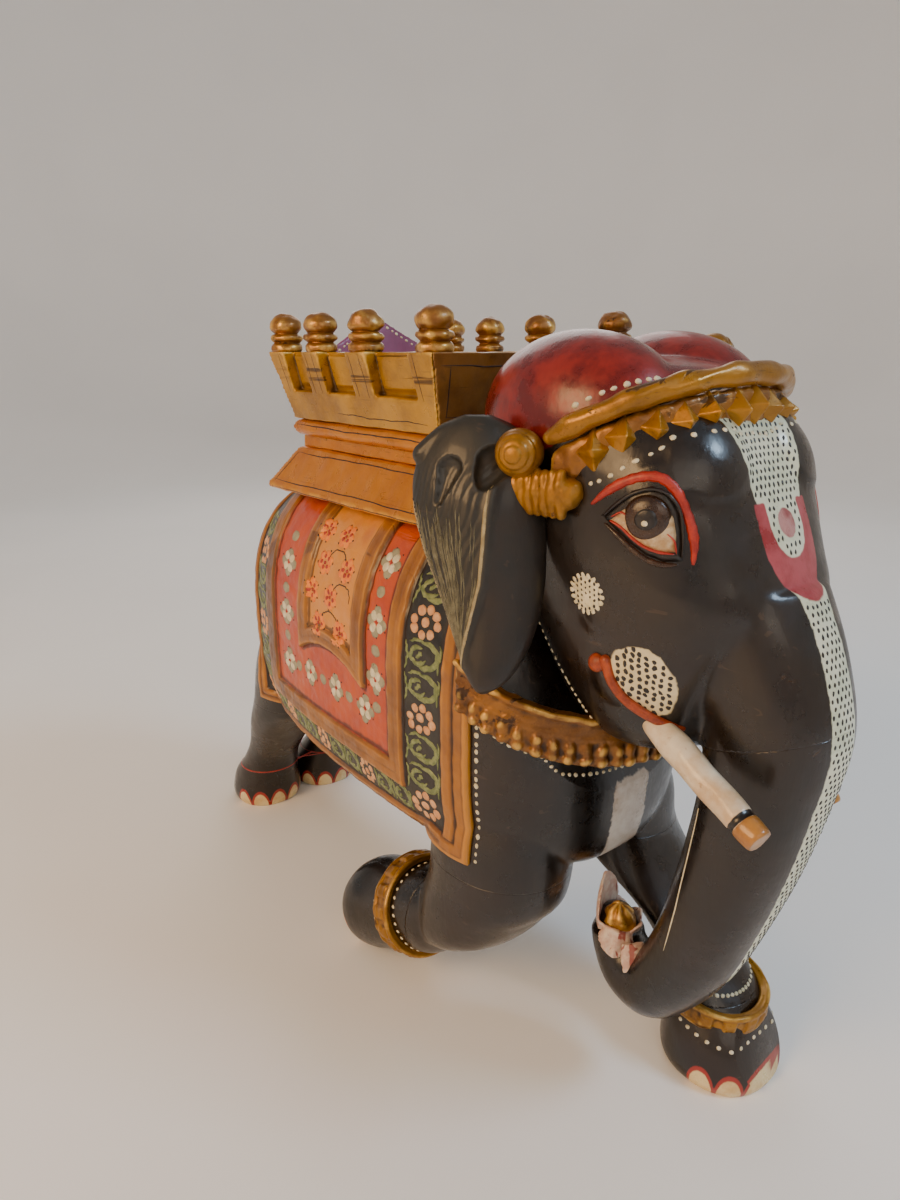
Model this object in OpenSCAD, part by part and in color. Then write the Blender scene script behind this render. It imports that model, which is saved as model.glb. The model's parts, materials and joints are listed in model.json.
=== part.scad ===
// Carved and painted wooden elephant that carries a howdah.
// +Z is up, the elephant faces -Y, and +X is its left side.
// The origin is on the ground, under the middle of the whole figure.

/* [Body] */
// Half-width of the body block at the middle of the back
body_half_w = 86; // [83:1:88]
// Height of the flat seat cut on the back for the howdah
seat_z = 309; // [305:1:309]
// Height of the plane that joins the legs to the body
leg_joint_z = 122; // [118:1:126]
// Thickness of the carved saddle cloth above the hide
cloth_t = 3; // [2:0.5:4]
// Height of the cloth's lower edge
cloth_z = 135; // [130:1:145]

/* [Head] */
// Half-width of the head across the cheeks
head_half_w = 66; // [62:1:68]
// Radius of the two crown domes across the head
dome_r = 35; // [31:1:37]
// Diameter of a tusk where it leaves the mouth
tusk_d = 13; // [10:0.5:14]
// Thickness of an ear
ear_t = 9; // [7:0.5:11]

/* [Trunk] */
// Half-width of the trunk where it joins the head
trunk_root_w = 35; // [30:1:38]
// Half-width of the trunk at its open end
trunk_tip_w = 15; // [12:1:17]

/* [Howdah] */
// Half-width of the sloping skirt at its foot
skirt_x = 75; // [72:1:78]
// How far the howdah sits to the left of the midline
howdah_x = 4; // [0:1:5]
// Half-length of the sloping skirt at its foot
skirt_y = 104; // [98:1:104]
// Gap under the skirt, so that the howdah sits on its pegs' shoulders
seat_gap = 0.4; // [0.3:0.1:0.8]
// Height of the howdah's rail
rail_z = 399; // [392:1:404]
// Largest diameter of a turned finial
finial_d = 20; // [16:1:21]
// Diameter of a howdah locating peg
peg_d = 12; // [10:1:14]
// Diametral clearance of a locating peg in its hole
peg_clear = 1; // [0.8:0.1:1.6]

/* [Joinery] */
// Diameter of a glued dowel's hole
dowel_d = 8; // [6:0.5:9]

/* [Hidden] */
$fn = 48;
y_mid = 8.77;      // moves the figure so that its box is centred on the origin
gold = "goldenrod"; black = "#241c18"; red = "#8a1f22";
dr = dowel_d/2;  // dowel hole radius
dp = dr - 0.05;  // dowel radius

// ---------- lofts ----------
function sp(v, e) = sign(v)*pow(abs(v), e);
// Row of a loft: [centre x, centre y, centre z, lean, half-width, reach along, reach against, squareness,
// and optionally the squareness of the half that reaches against].
// The ring lies in X and a direction that leans `lean` degrees up from +Y.
function ring(r, n) = [for (i = [0:n-1]) let (t = 360*i/n, e = sin(t) < 0 && len(r) > 8 ? r[8] : r[7], v = sp(sin(t), 2/e)*(sin(t) > 0 ? r[5] : r[6]))
  [r[0] + sp(cos(t), 2/e)*r[4], r[1] + v*cos(r[3]), r[2] + v*sin(r[3])]];
function cm(a, b, c, d, t) = 0.5*(2*b + (c - a)*t + (2*a - 5*b + 4*c - d)*t*t + (3*b - a - 3*c + d)*t*t*t);
function smooth_rows(T, k) = [for (i = [0:len(T)-2], j = [0:k-1])
  cm(T[max(i-1, 0)], T[i], T[i+1], T[min(i+2, len(T)-1)], j/k), T[len(T)-1]];
// Closed skin over a list of rings, which follow each other along the rings' normal
module skin(R) {
  n = len(R[0]); m = len(R);
  polyhedron([for (r = R) each r], concat(
    [[for (i = [0:n-1]) i]], [[for (i = [n-1:-1:0]) (m-1)*n + i]],
    [for (j = [0:m-2], i = [0:n-1]) let (a = j*n + i, b = j*n + (i+1)%n) each [[a, a+n, b+n], [a, b+n, b]]]),
    convexity = 8);
}
module loft(T, k = 3, n = 28) skin([for (r = smooth_rows(T, k)) ring(r, n)]);
// The same loft when its rows run against the rings' normal
module loft_down(T, k = 3, n = 32) loft([for (i = [len(T)-1:-1:0]) T[i]], k, n);
module placed() translate([0, y_mid, 0]) children();
module on_back() translate([howdah_x, y_mid, 0]) children();
module both() { children(); mirror([1, 0, 0]) children(); }
// A rod of round beads through a list of points
module bead_rod(P, r, f = 12) for (i = [0:len(P)-2]) hull() { translate(P[i]) sphere(r, $fn = f); translate(P[i+1]) sphere(r, $fn = f); }

// ---------- solid shapes of the figure ----------
torso_rows = [for (r = [
  // y,   z,  half-width, up, down, squareness above and below
  [202, 212, 14, 14, 20, 2, 2],
  [198, 212, 32, 34, 44, 2.1, 2.2],
  [186, 213, 45, 58, 74, 2.2, 2.6],
  [160, 215, 57, 76, 92, 2.3, 3.2],
  [124, 219, body_half_w - 16, 87, 103, 2.4, 4],
  [ 86, 224, body_half_w - 8, 93, 110, 2.5, 4.6],
  [ 30, 226, body_half_w - 2, 94, 114, 2.5, 5],
  [-50, 226, body_half_w, 94, 114, 2.5, 5],
  [-100, 224, body_half_w - 2, 93, 108, 2.5, 5],
  [-128, 220, body_half_w - 6, 92, 99, 2.5, 4.6],
  [-146, 213, body_half_w - 15, 84, 89, 2.5, 3.6],
  [-160, 204, 53, 62, 76, 2.5, 3],
  [-167, 200, 35, 40, 58, 2.4, 2.6],
  [-170, 198, 16, 18, 32, 2.2, 2.2]]) [0, r[0], r[1], 90, r[2], r[3], r[4], r[5], r[6]]];
module torso_shape(grow = 0) loft([for (r = torso_rows) r + [0, 0, 0, 0, grow, grow, grow, 0, 0]], 1, 28);

head_rows = [for (r = [
  // z, centre y, half-width, back, front, squareness
  [214, -190, 20, 12, 14, 2],
  [220, -188, 38, 24, 30, 2.2],
  [234, -186, 49, 38, 42, 2.4],
  [252, -184, 55, 48, 52, 2.5],
  [272, -180, 59, 56, 66, 2.5],
  [292, -176, head_half_w - 4, 64, 78, 2.5],
  [312, -172, head_half_w - 1, 66, 76, 2.6],
  [334, -168, head_half_w, 62, 71, 2.8],
  [352, -165, head_half_w, 58, 64, 2.8],
  [370, -162, head_half_w - 4, 54, 58, 2.7],
  [384, -160, head_half_w - 12, 48, 50, 2.5],
  [393, -160, 38, 36, 38, 2.3],
  [397, -160, 16, 16, 16, 2]]) [0, r[1], r[0], 0, r[2], r[3], r[4], r[5]]];
// Twin domes, cut upright behind so that the howdah clears them as it lifts off
dome_back_y = -106.5;
dome_rows = [for (a = [-78:13:78]) [32, -150, 370 + 39.5*sin(a), 0, (dome_r + 3)*cos(a), 54*cos(a), 54*cos(a), 2]];
module domes() both() intersection() { loft(dome_rows, 1, 22); translate([-20, -300, 300]) cube([140, 300 + dome_back_y, 140]); }

trunk_rows = [
  // x,  y,   z,  lean, half-width, rear, front, squareness
  [0, -226, 300, -8, trunk_root_w + 2, 34, 30, 2.2],
  [0, -236, 272, -6, trunk_root_w, 34, 34, 2.2],
  [0, -246, 240, 0, trunk_root_w - 3, 30, 33, 2.2],
  [-1, -245, 205, 5, trunk_root_w - 6, 27, 29, 2.2],
  [-2, -239, 170, 9, trunk_root_w - 8, 25, 27, 2.2],
  [-3, -231, 138, 15, trunk_root_w - 10, 23, 25, 2.2],
  [-4, -221, 106, 24, trunk_root_w - 13, 21, 23, 2.2],
  [-5, -209, 82, 42, trunk_root_w - 15, 19, 21, 2.2],
  [-6, -196, 67, 72, trunk_root_w - 17, 18, 20, 2.2],
  [-6, -182, 68, 112, trunk_tip_w + 2, 16, 17, 2.2],
  [-6, -174, 78, 152, trunk_tip_w, 14, 15, 2.2],
  [-6, -172, 88, 172, trunk_tip_w, 14, 15, 2.2]];
module trunk_shape() loft_down(trunk_rows, 2, 24);

// Half-space in front of and above the neck's glue plane
neck_y = -112; neck_lean = 24;
module ahead_of_neck() translate([0, neck_y, 306]) rotate([-neck_lean, 0, 0]) translate([-150, -300, -300]) cube([300, 300, 600]);
trunk_cut_y = -212; trunk_cut_z = 222; trunk_cut_lean = 20;
module below_trunk_cut() translate([0, trunk_cut_y, trunk_cut_z]) rotate([-trunk_cut_lean, 0, 0]) translate([-80, -150, -260]) cube([160, 260, 260]);

// ---------- body block ----------
module cloth_zone() translate([-120, -133, cloth_z]) cube([240, 246, 160]);
module torso_solid() {
  intersection() {
    union() {
      torso_shape();
      intersection() { torso_shape(cloth_t); cloth_zone(); }
      both() intersection() { leg_tops(); translate([-200, -300, leg_joint_z]) cube([400, 700, 90]); }
    }
    translate([-200, -300, 0]) cube([400, 700, seat_z]);
  }
}
// Upper ends of the legs, which the body block carries above the glue plane
module leg_tops() {
  loft([[44, -112, 100, 0, 38, 40, 46, 2.1], [44, -110, 160, 0, 38, 40, 46, 2.1], [40, -108, 200, 0, 30, 30, 34, 2.1]], 2, 28);
  loft([[37, 158, 100, 0, 28, 32, 34, 2.1], [36, 148, 160, 0, 28, 32, 40, 2.1], [34, 140, 200, 0, 24, 26, 34, 2.1]], 2, 28);
}
// Raised frames carved on each flank of the cloth
module cloth_frames() both() intersection() {
  difference() { torso_shape(cloth_t + 1.8); torso_shape(cloth_t - 0.5); }
  union() for (f = [[-133, 113, cloth_z, 12], [-104, 92, 160, 6], [-66, 64, 196, 6]])
    difference() {
      hull() { translate([30, f[0], f[2]]) cube([80, f[1] - f[0], 1]); translate([30, f[0], 300]) cube([80, f[1] - f[0], 1]); }
      hull() { translate([20, f[0] + f[3], f[2] + f[3]]) cube([100, f[1] - f[0] - 2*f[3], 1]); translate([20, f[0] + f[3], 320]) cube([100, f[1] - f[0] - 2*f[3], 1]); }
    }
}
module torso() color(black) placed() difference() {
  union() { torso_solid(); intersection() { cloth_frames(); translate([-200, -300, 0]) cube([400, 700, seat_z]); } }
  ahead_of_neck();
  for (y = [-60, 60]) translate([howdah_x, y, seat_z - 26]) cylinder(h = 30, r = peg_d/2);
  neck_holes(); leg_holes();
  translate([0, 188, 238]) rotate([-60, 0, 0]) cylinder(h = 30, r = dr);
}

// ---------- dowels ----------
module neck_pair(r, h) for (x = [-28, 28]) translate([x, neck_y, 306]) rotate([-neck_lean, 0, 0]) translate([0, 0, -56]) rotate([90, 0, 0]) cylinder(h = h, r = r, center = true);
module neck_holes() neck_pair(dr, 50);
module neck_dowels() color("burlywood") placed() neck_pair(dp, 49);
leg_spots = [[-44, -112], [45, -116], [-37, 156], [37, 156]];
module leg_pins(r, h) for (p = leg_spots) translate([p[0], p[1], leg_joint_z]) cylinder(h = h, r = r, center = true);
module leg_holes() leg_pins(dr, 44);
module leg_dowels() color("burlywood") placed() leg_pins(dp, 43);
module trunk_pin(r, h) translate([0, trunk_cut_y, trunk_cut_z]) rotate([-trunk_cut_lean, 0, 0]) translate([0, -34, 0]) cylinder(h = h, r = r, center = true);
module trunk_dowel() color("burlywood") placed() trunk_pin(dp, 39);
module ear_pins(r, h) both() translate([66, -152, 330]) rotate([0, 90, 0]) cylinder(h = h, r = r, center = true);
module ear_dowels() color("burlywood") placed() ear_pins(dr*0.6 - 0.05, 19.4);
module tail_dowel() color("burlywood") placed() translate([0, 188, 238]) rotate([-60, 0, 0]) cylinder(h = 29, r = dp);
module howdah_pegs() color("burlywood") placed() for (y = [-60, 60]) {
  translate([howdah_x, y, seat_z - 25.5]) cylinder(h = 25.5, r = peg_d/2 - 0.05);
  translate([howdah_x, y, seat_z]) cylinder(h = 33, r = peg_d/2 - 0.05);
}

// ---------- head ----------
module head_solid() {
  loft(head_rows, 1, 28);
  domes();
  difference() { trunk_shape(); below_trunk_cut(); }
  // heavy brows over the eyes
  both() hull() { translate([32, -226, 346]) sphere(13, $fn = 12); translate([50, -206, 343]) sphere(13, $fn = 12); }
  // cheeks and lip
  both() hull() { translate([40, -200, 258]) sphere(15, $fn = 12); translate([46, -190, 285]) sphere(15, $fn = 12); }
  both() hull() { translate([50, -195, 266]) sphere(5, $fn = 8); translate([34, -223, 242]) sphere(5, $fn = 8); }
  both() translate([52, -193, 266.5]) sphere(6.5, $fn = 14);
}
module head() color(black) placed() difference() {
  intersection() { head_solid(); ahead_of_neck(); }
  below_trunk_cut_shape();
  neck_holes(); trunk_pin(dr, 40);
  ear_pins(dr*0.6, 20);
  mirror([1, 0, 0]) tusk_hole(tusk_r);
  tusk_hole(tusk_l);
}
module below_trunk_cut_shape() intersection() { trunk_shape(); below_trunk_cut(); }
module trunk() color(black) placed() difference() {
  below_trunk_cut_shape();
  trunk_pin(dr, 40);
  // open cup at the end of the trunk
  translate([-6, -171, 90]) rotate([-12, 0, 0]) translate([0, 0, -13]) cylinder(h = 30, r = 6);
  for (a = [0:45:315]) translate([-6, -170, 90]) rotate([-12, 0, a]) hull() { translate([16, 0, -6]) sphere(1, $fn = 6); translate([16, 0, 1]) sphere(1.4, $fn = 6); }
}
module trunk_bud() color("peru") placed() translate([-6, -171, 90]) rotate([-12, 0, 0]) {
  translate([0, 0, -12.5]) cylinder(h = 13, r = 5.9);
  rotate_extrude() polygon([[0, 0], [5.9, 0], [9, 3], [10.5, 8], [8.5, 14], [4.5, 20], [1.5, 27], [0, 29]]);
}

// ---------- tusks ----------
tusk_a = [40, -206, 240];
tusk_r = [50, -272, 212]; // right tusk, mirrored: sweeps forward
tusk_l = [38, -256, 192]; // left tusk: set lower and closer to the trunk
module along(a, b) { d = b - a; translate(a) rotate([0, acos(d[2]/norm(d)), atan2(d[1], d[0])]) children(); }
module tusk_hole(b) along(tusk_a, b) translate([0, 0, -2]) cylinder(h = 90, r = tusk_d/2 - 1.9);
module tusk_side(b) along(tusk_a, b) {
  translate([0, 0, -1.5]) cylinder(h = 20, r = tusk_d/2 - 2);
  rotate_extrude() polygon([[0, 18], [tusk_d/2 - 0.2, 18], [tusk_d/2 - 0.8, 62], [tusk_d/2 - 0.4, 63], [tusk_d/2 - 0.6, 72], [tusk_d/2 - 1.6, 74], [0, 74]]);
}
module right_tusk() color("ivory") placed() mirror([1, 0, 0]) tusk_side(tusk_r);
module left_tusk() color("ivory") placed() tusk_side(tusk_l);

// ---------- ears ----------
// Level of an ear: [z, root x, root y, edge x, edge y, bow]
ear_levels = [[250, 97, -160, 100, -156, 0], [258, 88, -166, 103, -152, 2], [272, 78, -168, 103, -144, 5], [292, 70, -167, 102, -131, 8],
  [314, 66, -164, 103, -119, 10], [336, 65, -160, 103, -112, 11], [354, 65, -154, 99, -112, 9], [366, 68, -146, 92, -116, 6], [372, 76, -136, 84, -126, 1]];
function ear_ring(L, n = 8) = let (d = [L[3] - L[1], L[4] - L[2]], w = norm(d), u = d/w, v = [u[1], -u[0]], h = min(ear_t/2, w/3))
  concat([for (i = [0:n]) let (t = i/n, b = L[5]*sin(180*t), k = h*sqrt(max(0.05, 1 - pow(2*t - 1, 4)))) [L[1] + u[0]*w*t + v[0]*(b + k), L[2] + u[1]*w*t + v[1]*(b + k), L[0]]],
    [for (i = [n:-1:0]) let (t = i/n, b = L[5]*sin(180*t), k = h*sqrt(max(0.05, 1 - pow(2*t - 1, 4)))) [L[1] + u[0]*w*t + v[0]*(b - k), L[2] + u[1]*w*t + v[1]*(b - k), L[0]]]);
module ear_side() difference() {
  union() {
    skin([for (L = smooth_rows(ear_levels, 2)) ear_ring(L)]);
    // rolled upper edge
    bead_rod([[72, -146, 362], [79, -136, 366], [89, -123, 364], [98, -114, 354]], 5, 8);
  }
  // two hollows carved under the upper edge
  hull() { translate([84, -148, 352]) sphere(5, $fn = 12); translate([88, -144, 338]) sphere(3, $fn = 12); }
  hull() { translate([95, -134, 350]) sphere(5, $fn = 12); translate([98, -132, 336]) sphere(3, $fn = 12); }
  head_solid();
  ear_pins(dr*0.6, 20);
}
module right_ear() color("#3a3630") placed() mirror([1, 0, 0]) ear_side();
module left_ear() color("#3a3630") placed() ear_side();

// ---------- legs ----------
module below_leg_joint() translate([-200, -320, -5]) cube([400, 640, leg_joint_z + 5]);
module anklet(p, r, lean) for (i = [0:9]) translate(p) rotate([lean, 0, 0]) hull() {
  rotate([0, 0, 36*i]) translate([r, 0, -7]) cube([4, 1, 1], center = true);
  rotate([0, 0, 36*i]) translate([r, 0, 7]) cube([4, 1, 1], center = true);
  rotate([0, 0, 36*i + 31]) translate([r, 0, 0]) cube([4, 1, 13], center = true);
}
module toes(P, r = 7) for (p = P) hull() { translate(p) sphere(r, $fn = 8); translate(p + [0, 0, 4]) sphere(r - 2, $fn = 8); }
r_fore = [[-46, -87, 50, -16, 17, 18, 18, 2.1], [-46, -89, 54, -16, 29, 30, 31, 2.1], [-46, -94, 66, -12, 35, 37, 39, 2.2], [-45, -102, 86, -6, 38, 40, 43, 2.1], [-44, -109, 106, 0, 38, 40, 46, 2.1], [-44, -112, 130, 0, 38, 40, 46, 2.1]];
module right_foreleg() color(black) placed() difference() {
  intersection() { loft(r_fore, 2, 28); below_leg_joint(); }
  torso_shape(); leg_holes();
  fore_cut();
  translate([-46, -72, 58]) rotate([-90, 0, 0]) cylinder(h = 30, r = dr, center = true);
}
// The folded forefoot meets the foreleg on an upright plane
module fore_cut() translate([-120, -68, -5]) cube([160, 200, 98]);
module right_forefoot() color(black) placed() {
  difference() {
    union() {
      intersection() {
        loft([for (r = [[9, 32, 15, 14, 14], [5, 32, 25, 25, 26], [-6, 33, 30, 31, 33], [-22, 37, 30, 31, 34], [-40, 47, 29, 29, 33], [-58, 56, 29, 29, 32], [-76, 61, 29, 29, 30]])
          [-56 - (r[0] + 14)*0.08, r[0], r[1], 90, r[2], r[3], r[4], 2.1]], 2, 28);
        translate([-130, -68, 0]) cube([160, 200, 120]);
      }
      translate([-53, -48, 50]) rotate([70, 0, 0]) anklet([0, 0, 0], 29.5, 0);
      intersection() { toes([for (a = [200:35:340]) [-56 + 24*cos(a), -2, 31 + 24*sin(a)]], 6); translate([-130, -68, 0]) cube([160, 200, 120]); }
    }
  }
  translate([-46, -67.8, 58]) rotate([90, 0, 0]) cylinder(h = 12, r = dp);
}
l_fore = [[42, -214, 0, 0, 31, 30, 31, 2.2], [42, -214, 8, 0, 33, 33, 33, 2.2], [42, -212, 26, 2, 31, 31, 32, 2.1], [44, -206, 44, 6, 26, 26, 26, 2.1], [46, -192, 62, 14, 25, 26, 26, 2.1], [47, -170, 84, 20, 29, 32, 32, 2.1], [46, -142, 104, 16, 34, 38, 38, 2.1], [45, -118, 124, 6, 37, 40, 44, 2.1], [44, -112, 140, 0, 38, 40, 46, 2.1]];
l_cut_z = 46;
module left_foreleg() color(black) placed() difference() {
  intersection() { loft(l_fore, 2, 24); below_leg_joint(); translate([-50, -320, l_cut_z]) cube([200, 400, 120]); }
  torso_shape(); leg_holes();
  translate([43, -205, l_cut_z]) cylinder(h = 30, r = dr, center = true);
}
module left_forefoot() color(black) placed() difference() {
  intersection() {
    union() {
      loft(l_fore, 2, 24);
      translate([43, -208, 37]) anklet([0, 0, 0], 28, 8);
      toes([for (a = [205:26:335]) [42 + 28*cos(a), -214 + 28*sin(a), 7]]);
    }
    translate([-50, -320, 0]) cube([200, 400, l_cut_z]);
  }
  trunk_shape();
  translate([43, -205, l_cut_z]) cylinder(h = 30, r = dr, center = true);
}
h_leg = [[30, 230, 0, 0, 28, 28, 28, 2.2], [30, 230, 8, 0, 30, 30, 30, 2.2], [30, 227, 26, 0, 28, 28, 29, 2.1], [31, 214, 48, -12, 24, 23, 25, 2.1], [33, 192, 74, -20, 25, 26, 30, 2.1], [36, 171, 102, -12, 28, 32, 34, 2.1], [37, 158, 124, 0, 28, 32, 36, 2.1], [37, 152, 140, 0, 28, 32, 36, 2.1]];
module hind_side() difference() {
  union() {
    intersection() { union() { loft(h_leg, 2, 24); toes([for (a = [30:40:150]) [30 + 25*cos(a), 230 + 25*sin(a), 7]]); toes([for (a = [210:40:330]) [30 + 25*cos(a), 230 + 25*sin(a), 7]]); } below_leg_joint(); translate([-200, -320, 0]) cube([400, 640, 200]); }
  }
  torso_shape(); leg_holes();
}
module right_hind_leg() color(black) placed() mirror([1, 0, 0]) hind_side();
module left_hind_leg() color(black) placed() hind_side();

// ---------- tail ----------
module tail() color(black) placed() difference() {
  bead_rod([[0, 192, 244], [0, 203, 236], [0, 211, 218], [0, 215, 196], [0, 216, 172], [0, 214, 150], [0, 211, 132], [0, 209, 118], [0, 209, 106]], 6, 14);
  torso_shape();
  translate([0, 188, 238]) rotate([-60, 0, 0]) cylinder(h = 30, r = dr);
}

// ---------- gilt bands ----------
// The brow band climbs from the side knobs over the forehead
function band_at(t, dz = 0) = let (a = 180*t) [-69*cos(a), -150 - 66*pow(sin(a), 0.8), 350 + 39*pow(sin(a), 0.7) + dz];
module headband() color(gold) placed() difference() {
  union() {
    headband_shape();
  }
  head_solid();
}
module ear_knob() difference() { union() { children(); } head_solid(); right_left_ears(); headband_shape(); }
module headband_shape() {
  bead_rod([for (i = [0:11]) band_at(0.07 + 0.86*i/11)], 6, 10);
  bead_rod([for (i = [0:11]) band_at(0.07 + 0.86*i/11, -10) + [0, -2, 0]], 6, 8);
}
module right_ear_knob() color(gold) placed() ear_knob() { translate([-77, -156, 357]) sphere(10, $fn = 16); block_studs(-1); }
module left_ear_knob() color(gold) placed() ear_knob() { hull() { translate([72, -146, 398]) sphere(9, $fn = 20); translate([78, -158, 357]) sphere(9, $fn = 12); } block_studs(1); }
// Ridged block under each knob
module block_studs(s) for (i = [0:6]) hull() { translate([s*(76 - 0.7*i), -156 - 3.2*i, 350]) sphere(2.6, $fn = 8); translate([s*(75 - 0.7*i), -156 - 3.2*i, 334]) sphere(2.6, $fn = 8); }
module right_left_ears() both() ear_side();
// The throat collar hangs from behind the ears to under the chin
function collar_at(t) = let (a = 180*t) [-83*cos(a), -124 - 62*sin(a), 240 - 28*sin(a)];
module bell_collar() color(gold) placed() difference() {
  for (i = [0:13]) hull() { for (j = [i, i+1], dz = [-9, 9]) translate(collar_at(j/14) + [0, 0, dz]) sphere(5, $fn = 8); }
  torso_shape(); head_solid(); trunk_shape();
  right_left_ears();
  intersection() { torso_shape(cloth_t + 2); cloth_zone(); }
}

// ---------- howdah ----------
// Vertical mitre planes: plan region of a side piece or an end piece, through corner points a and b
module side_zone(a, b) { d = b - a; p = a - 3*d; q = b + 2*d; linear_extrude(460) polygon([q, p, [p[0], -p[1]], [q[0], -q[1]]]); }
module end_zone(a, b) { d = b - a; p = a - 3*d; q = b + 2*d; linear_extrude(460) polygon([p, q, [-q[0], q[1]], [-p[0], p[1]]]); }
sk_a = [61, 82]; sk_b = [skirt_x, skirt_y]; sk_z = seat_z + seat_gap;
module rod_y(P, l) rotate([90, 0, 0]) linear_extrude(2*l, center = true) polygon(P);   // profile in X and Z, along Y
module rod_x(P, l) rotate([90, 0, 90]) linear_extrude(2*l, center = true) polygon(P);  // profile in Y and Z, along X
module skirt_side() intersection() { rod_y([[skirt_x, sk_z], [skirt_x, sk_z + 3], [61, 338], [49, 338], [49, 334], [skirt_x - 12, sk_z]], 130); side_zone(sk_a, sk_b); }
module skirt_end() intersection() { rod_x([[skirt_y, sk_z], [skirt_y, sk_z + 3], [82, 338], [66, 338], [66, 334], [skirt_y - 18, sk_z]], 90); end_zone(sk_a, sk_b); }
module howdah_skirt_right() color("orange") on_back() mirror([1, 0, 0]) skirt_side();
module howdah_skirt_left() color("orange") on_back() skirt_side();
module howdah_skirt_front() color("orange") on_back() mirror([0, 1, 0]) skirt_end();
module howdah_skirt_rear() color("orange") on_back() skirt_end();
module howdah_base() color("darkorange") on_back() difference() {
  translate([-58, -79, 338]) cube([116, 158, 8]);
  for (y = [-60, 60]) translate([0, y, 330]) cylinder(h = 30, r = (peg_d + peg_clear)/2);
}
mo_a = [51, 67]; mo_b = [65, 81];
function roll(x) = concat([[x - 14, 346]], [for (a = [-90:22.5:90]) [x - 5.5 + 5.5*cos(a), 351.5 + 5.5*sin(a)]], [[x - 14, 357]]);
module moulding_side() intersection() { rod_y(roll(65), 100); side_zone(mo_a, mo_b); }
module moulding_end() intersection() { rod_x(roll(81), 80); end_zone(mo_a, mo_b); }
module howdah_moulding_right() color("orange") on_back() mirror([1, 0, 0]) moulding_side();
module howdah_moulding_left() color("orange") on_back() moulding_side();
module howdah_moulding_front() color("orange") on_back() mirror([0, 1, 0]) moulding_end();
module howdah_moulding_rear() color("orange") on_back() moulding_end();
module howdah_floor() color("darkorange") on_back() translate([-50.8, -66.8, 346]) cube([101.6, 133.6, 5]);
wl_a = [65, 78]; wl_b = [77, 88]; wall_h = rail_z - 357;
fl = 12/42; fe = 10/42;   // outward flare of the side and end walls per unit height
// Outer face of a side wall at height z above the wall's foot
function fx(z) = 65 + fl*z;
function fy(z) = 78 + fe*z;
bays = [[-67, -25], [-7, 27], [43, 69]];
module wall_side(dir = 1) intersection() {
  difference() {
    rod_y([[fx(0), 357], [fx(wall_h), rail_z], [fx(wall_h) - 16, rail_z], [fx(0) - 14, 357]], 110);
    // bays cut from the outside, open at the top, with a thin back left
    for (b = bays) let (y0 = dir*b[0], y1 = dir*b[1]) rotate([90, 0, 0]) translate([0, 0, -max(y0, y1)]) linear_extrude(abs(y1 - y0))
      polygon([[fx(17) - 8, 374], [fx(17) + 4, 374], [fx(wall_h) + 6, rail_z + 4], [fx(wall_h) - 7, rail_z + 4]]);
    finial_spots() translate([0, 0, rail_z - 12]) cylinder(h = 20, r = 3.05);
  }
  side_zone(wl_a, wl_b);
}
module wall_end(dir = 1) intersection() {
  difference() {
    rod_x([[fy(0), 357], [fy(wall_h), rail_z], [fy(wall_h) - 12, rail_z], [fy(0) - 11, 357]], 90);
    scale_y(dir) both() finial_spots() translate([0, 0, rail_z - 12]) cylinder(h = 20, r = 3.05);
  }
  end_zone(wl_a, wl_b);
}
module scale_y(d) if (d < 0) mirror([0, 1, 0]) children(); else children();
module howdah_wall_right() color(gold) on_back() mirror([1, 0, 0]) wall_side();
module howdah_wall_left() color(gold) on_back() wall_side();
module howdah_wall_front() color(gold) on_back() mirror([0, 1, 0]) wall_end(-1);
module howdah_wall_rear() color(gold) on_back() wall_end();
module howdah_backrest() color("#7a3a6a") on_back() translate([0, 63, 351]) rotate([-17, 0, 0]) translate([0, -5, 0])
  rotate([90, 0, 0]) linear_extrude(5, center = true) polygon([[-44, 2], [44, 2], [50, 44], [0, 72], [-50, 44]]);
// A row of four turned finials stands on each side wall
module finial_spots() for (y = [-78, -15, 35, 79]) translate([67.5, y, 0]) children();
module finial() {
  r = finial_d/2;
  translate([0, 0, rail_z - 11.5]) cylinder(h = 12, r = 3);
  translate([0, 0, rail_z]) rotate_extrude() polygon(concat([[0, 0], [r - 1, 0], [r, 1.5], [r - 0.6, 4], [r - 2.6, 5.2], [r - 0.8, 6.2], [r, 7.6], [r - 0.8, 9.8], [r - 2.4, 10.8]],
    [for (a = [-30:15:90]) [r*cos(a), 15.5 + 7.5*sin(a)]]));
}
module finials_right() color("peru") on_back() mirror([1, 0, 0]) finial_spots() finial();
module finials_left() color("peru") on_back() finial_spots() finial();

torso();
head();
trunk();
trunk_bud();
right_ear();
left_ear();
right_tusk();
left_tusk();
right_foreleg();
right_forefoot();
left_foreleg();
left_forefoot();
right_hind_leg();
left_hind_leg();
tail();
headband();
right_ear_knob();
left_ear_knob();
bell_collar();
howdah_skirt_right();
howdah_skirt_left();
howdah_skirt_front();
howdah_skirt_rear();
howdah_moulding_right();
howdah_moulding_left();
howdah_moulding_front();
howdah_moulding_rear();
howdah_base();
howdah_floor();
howdah_wall_right();
howdah_wall_left();
howdah_wall_front();
howdah_wall_rear();
howdah_backrest();
finials_right();
finials_left();
howdah_pegs();
neck_dowels();
trunk_dowel();
ear_dowels();
leg_dowels();
tail_dowel();
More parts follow.
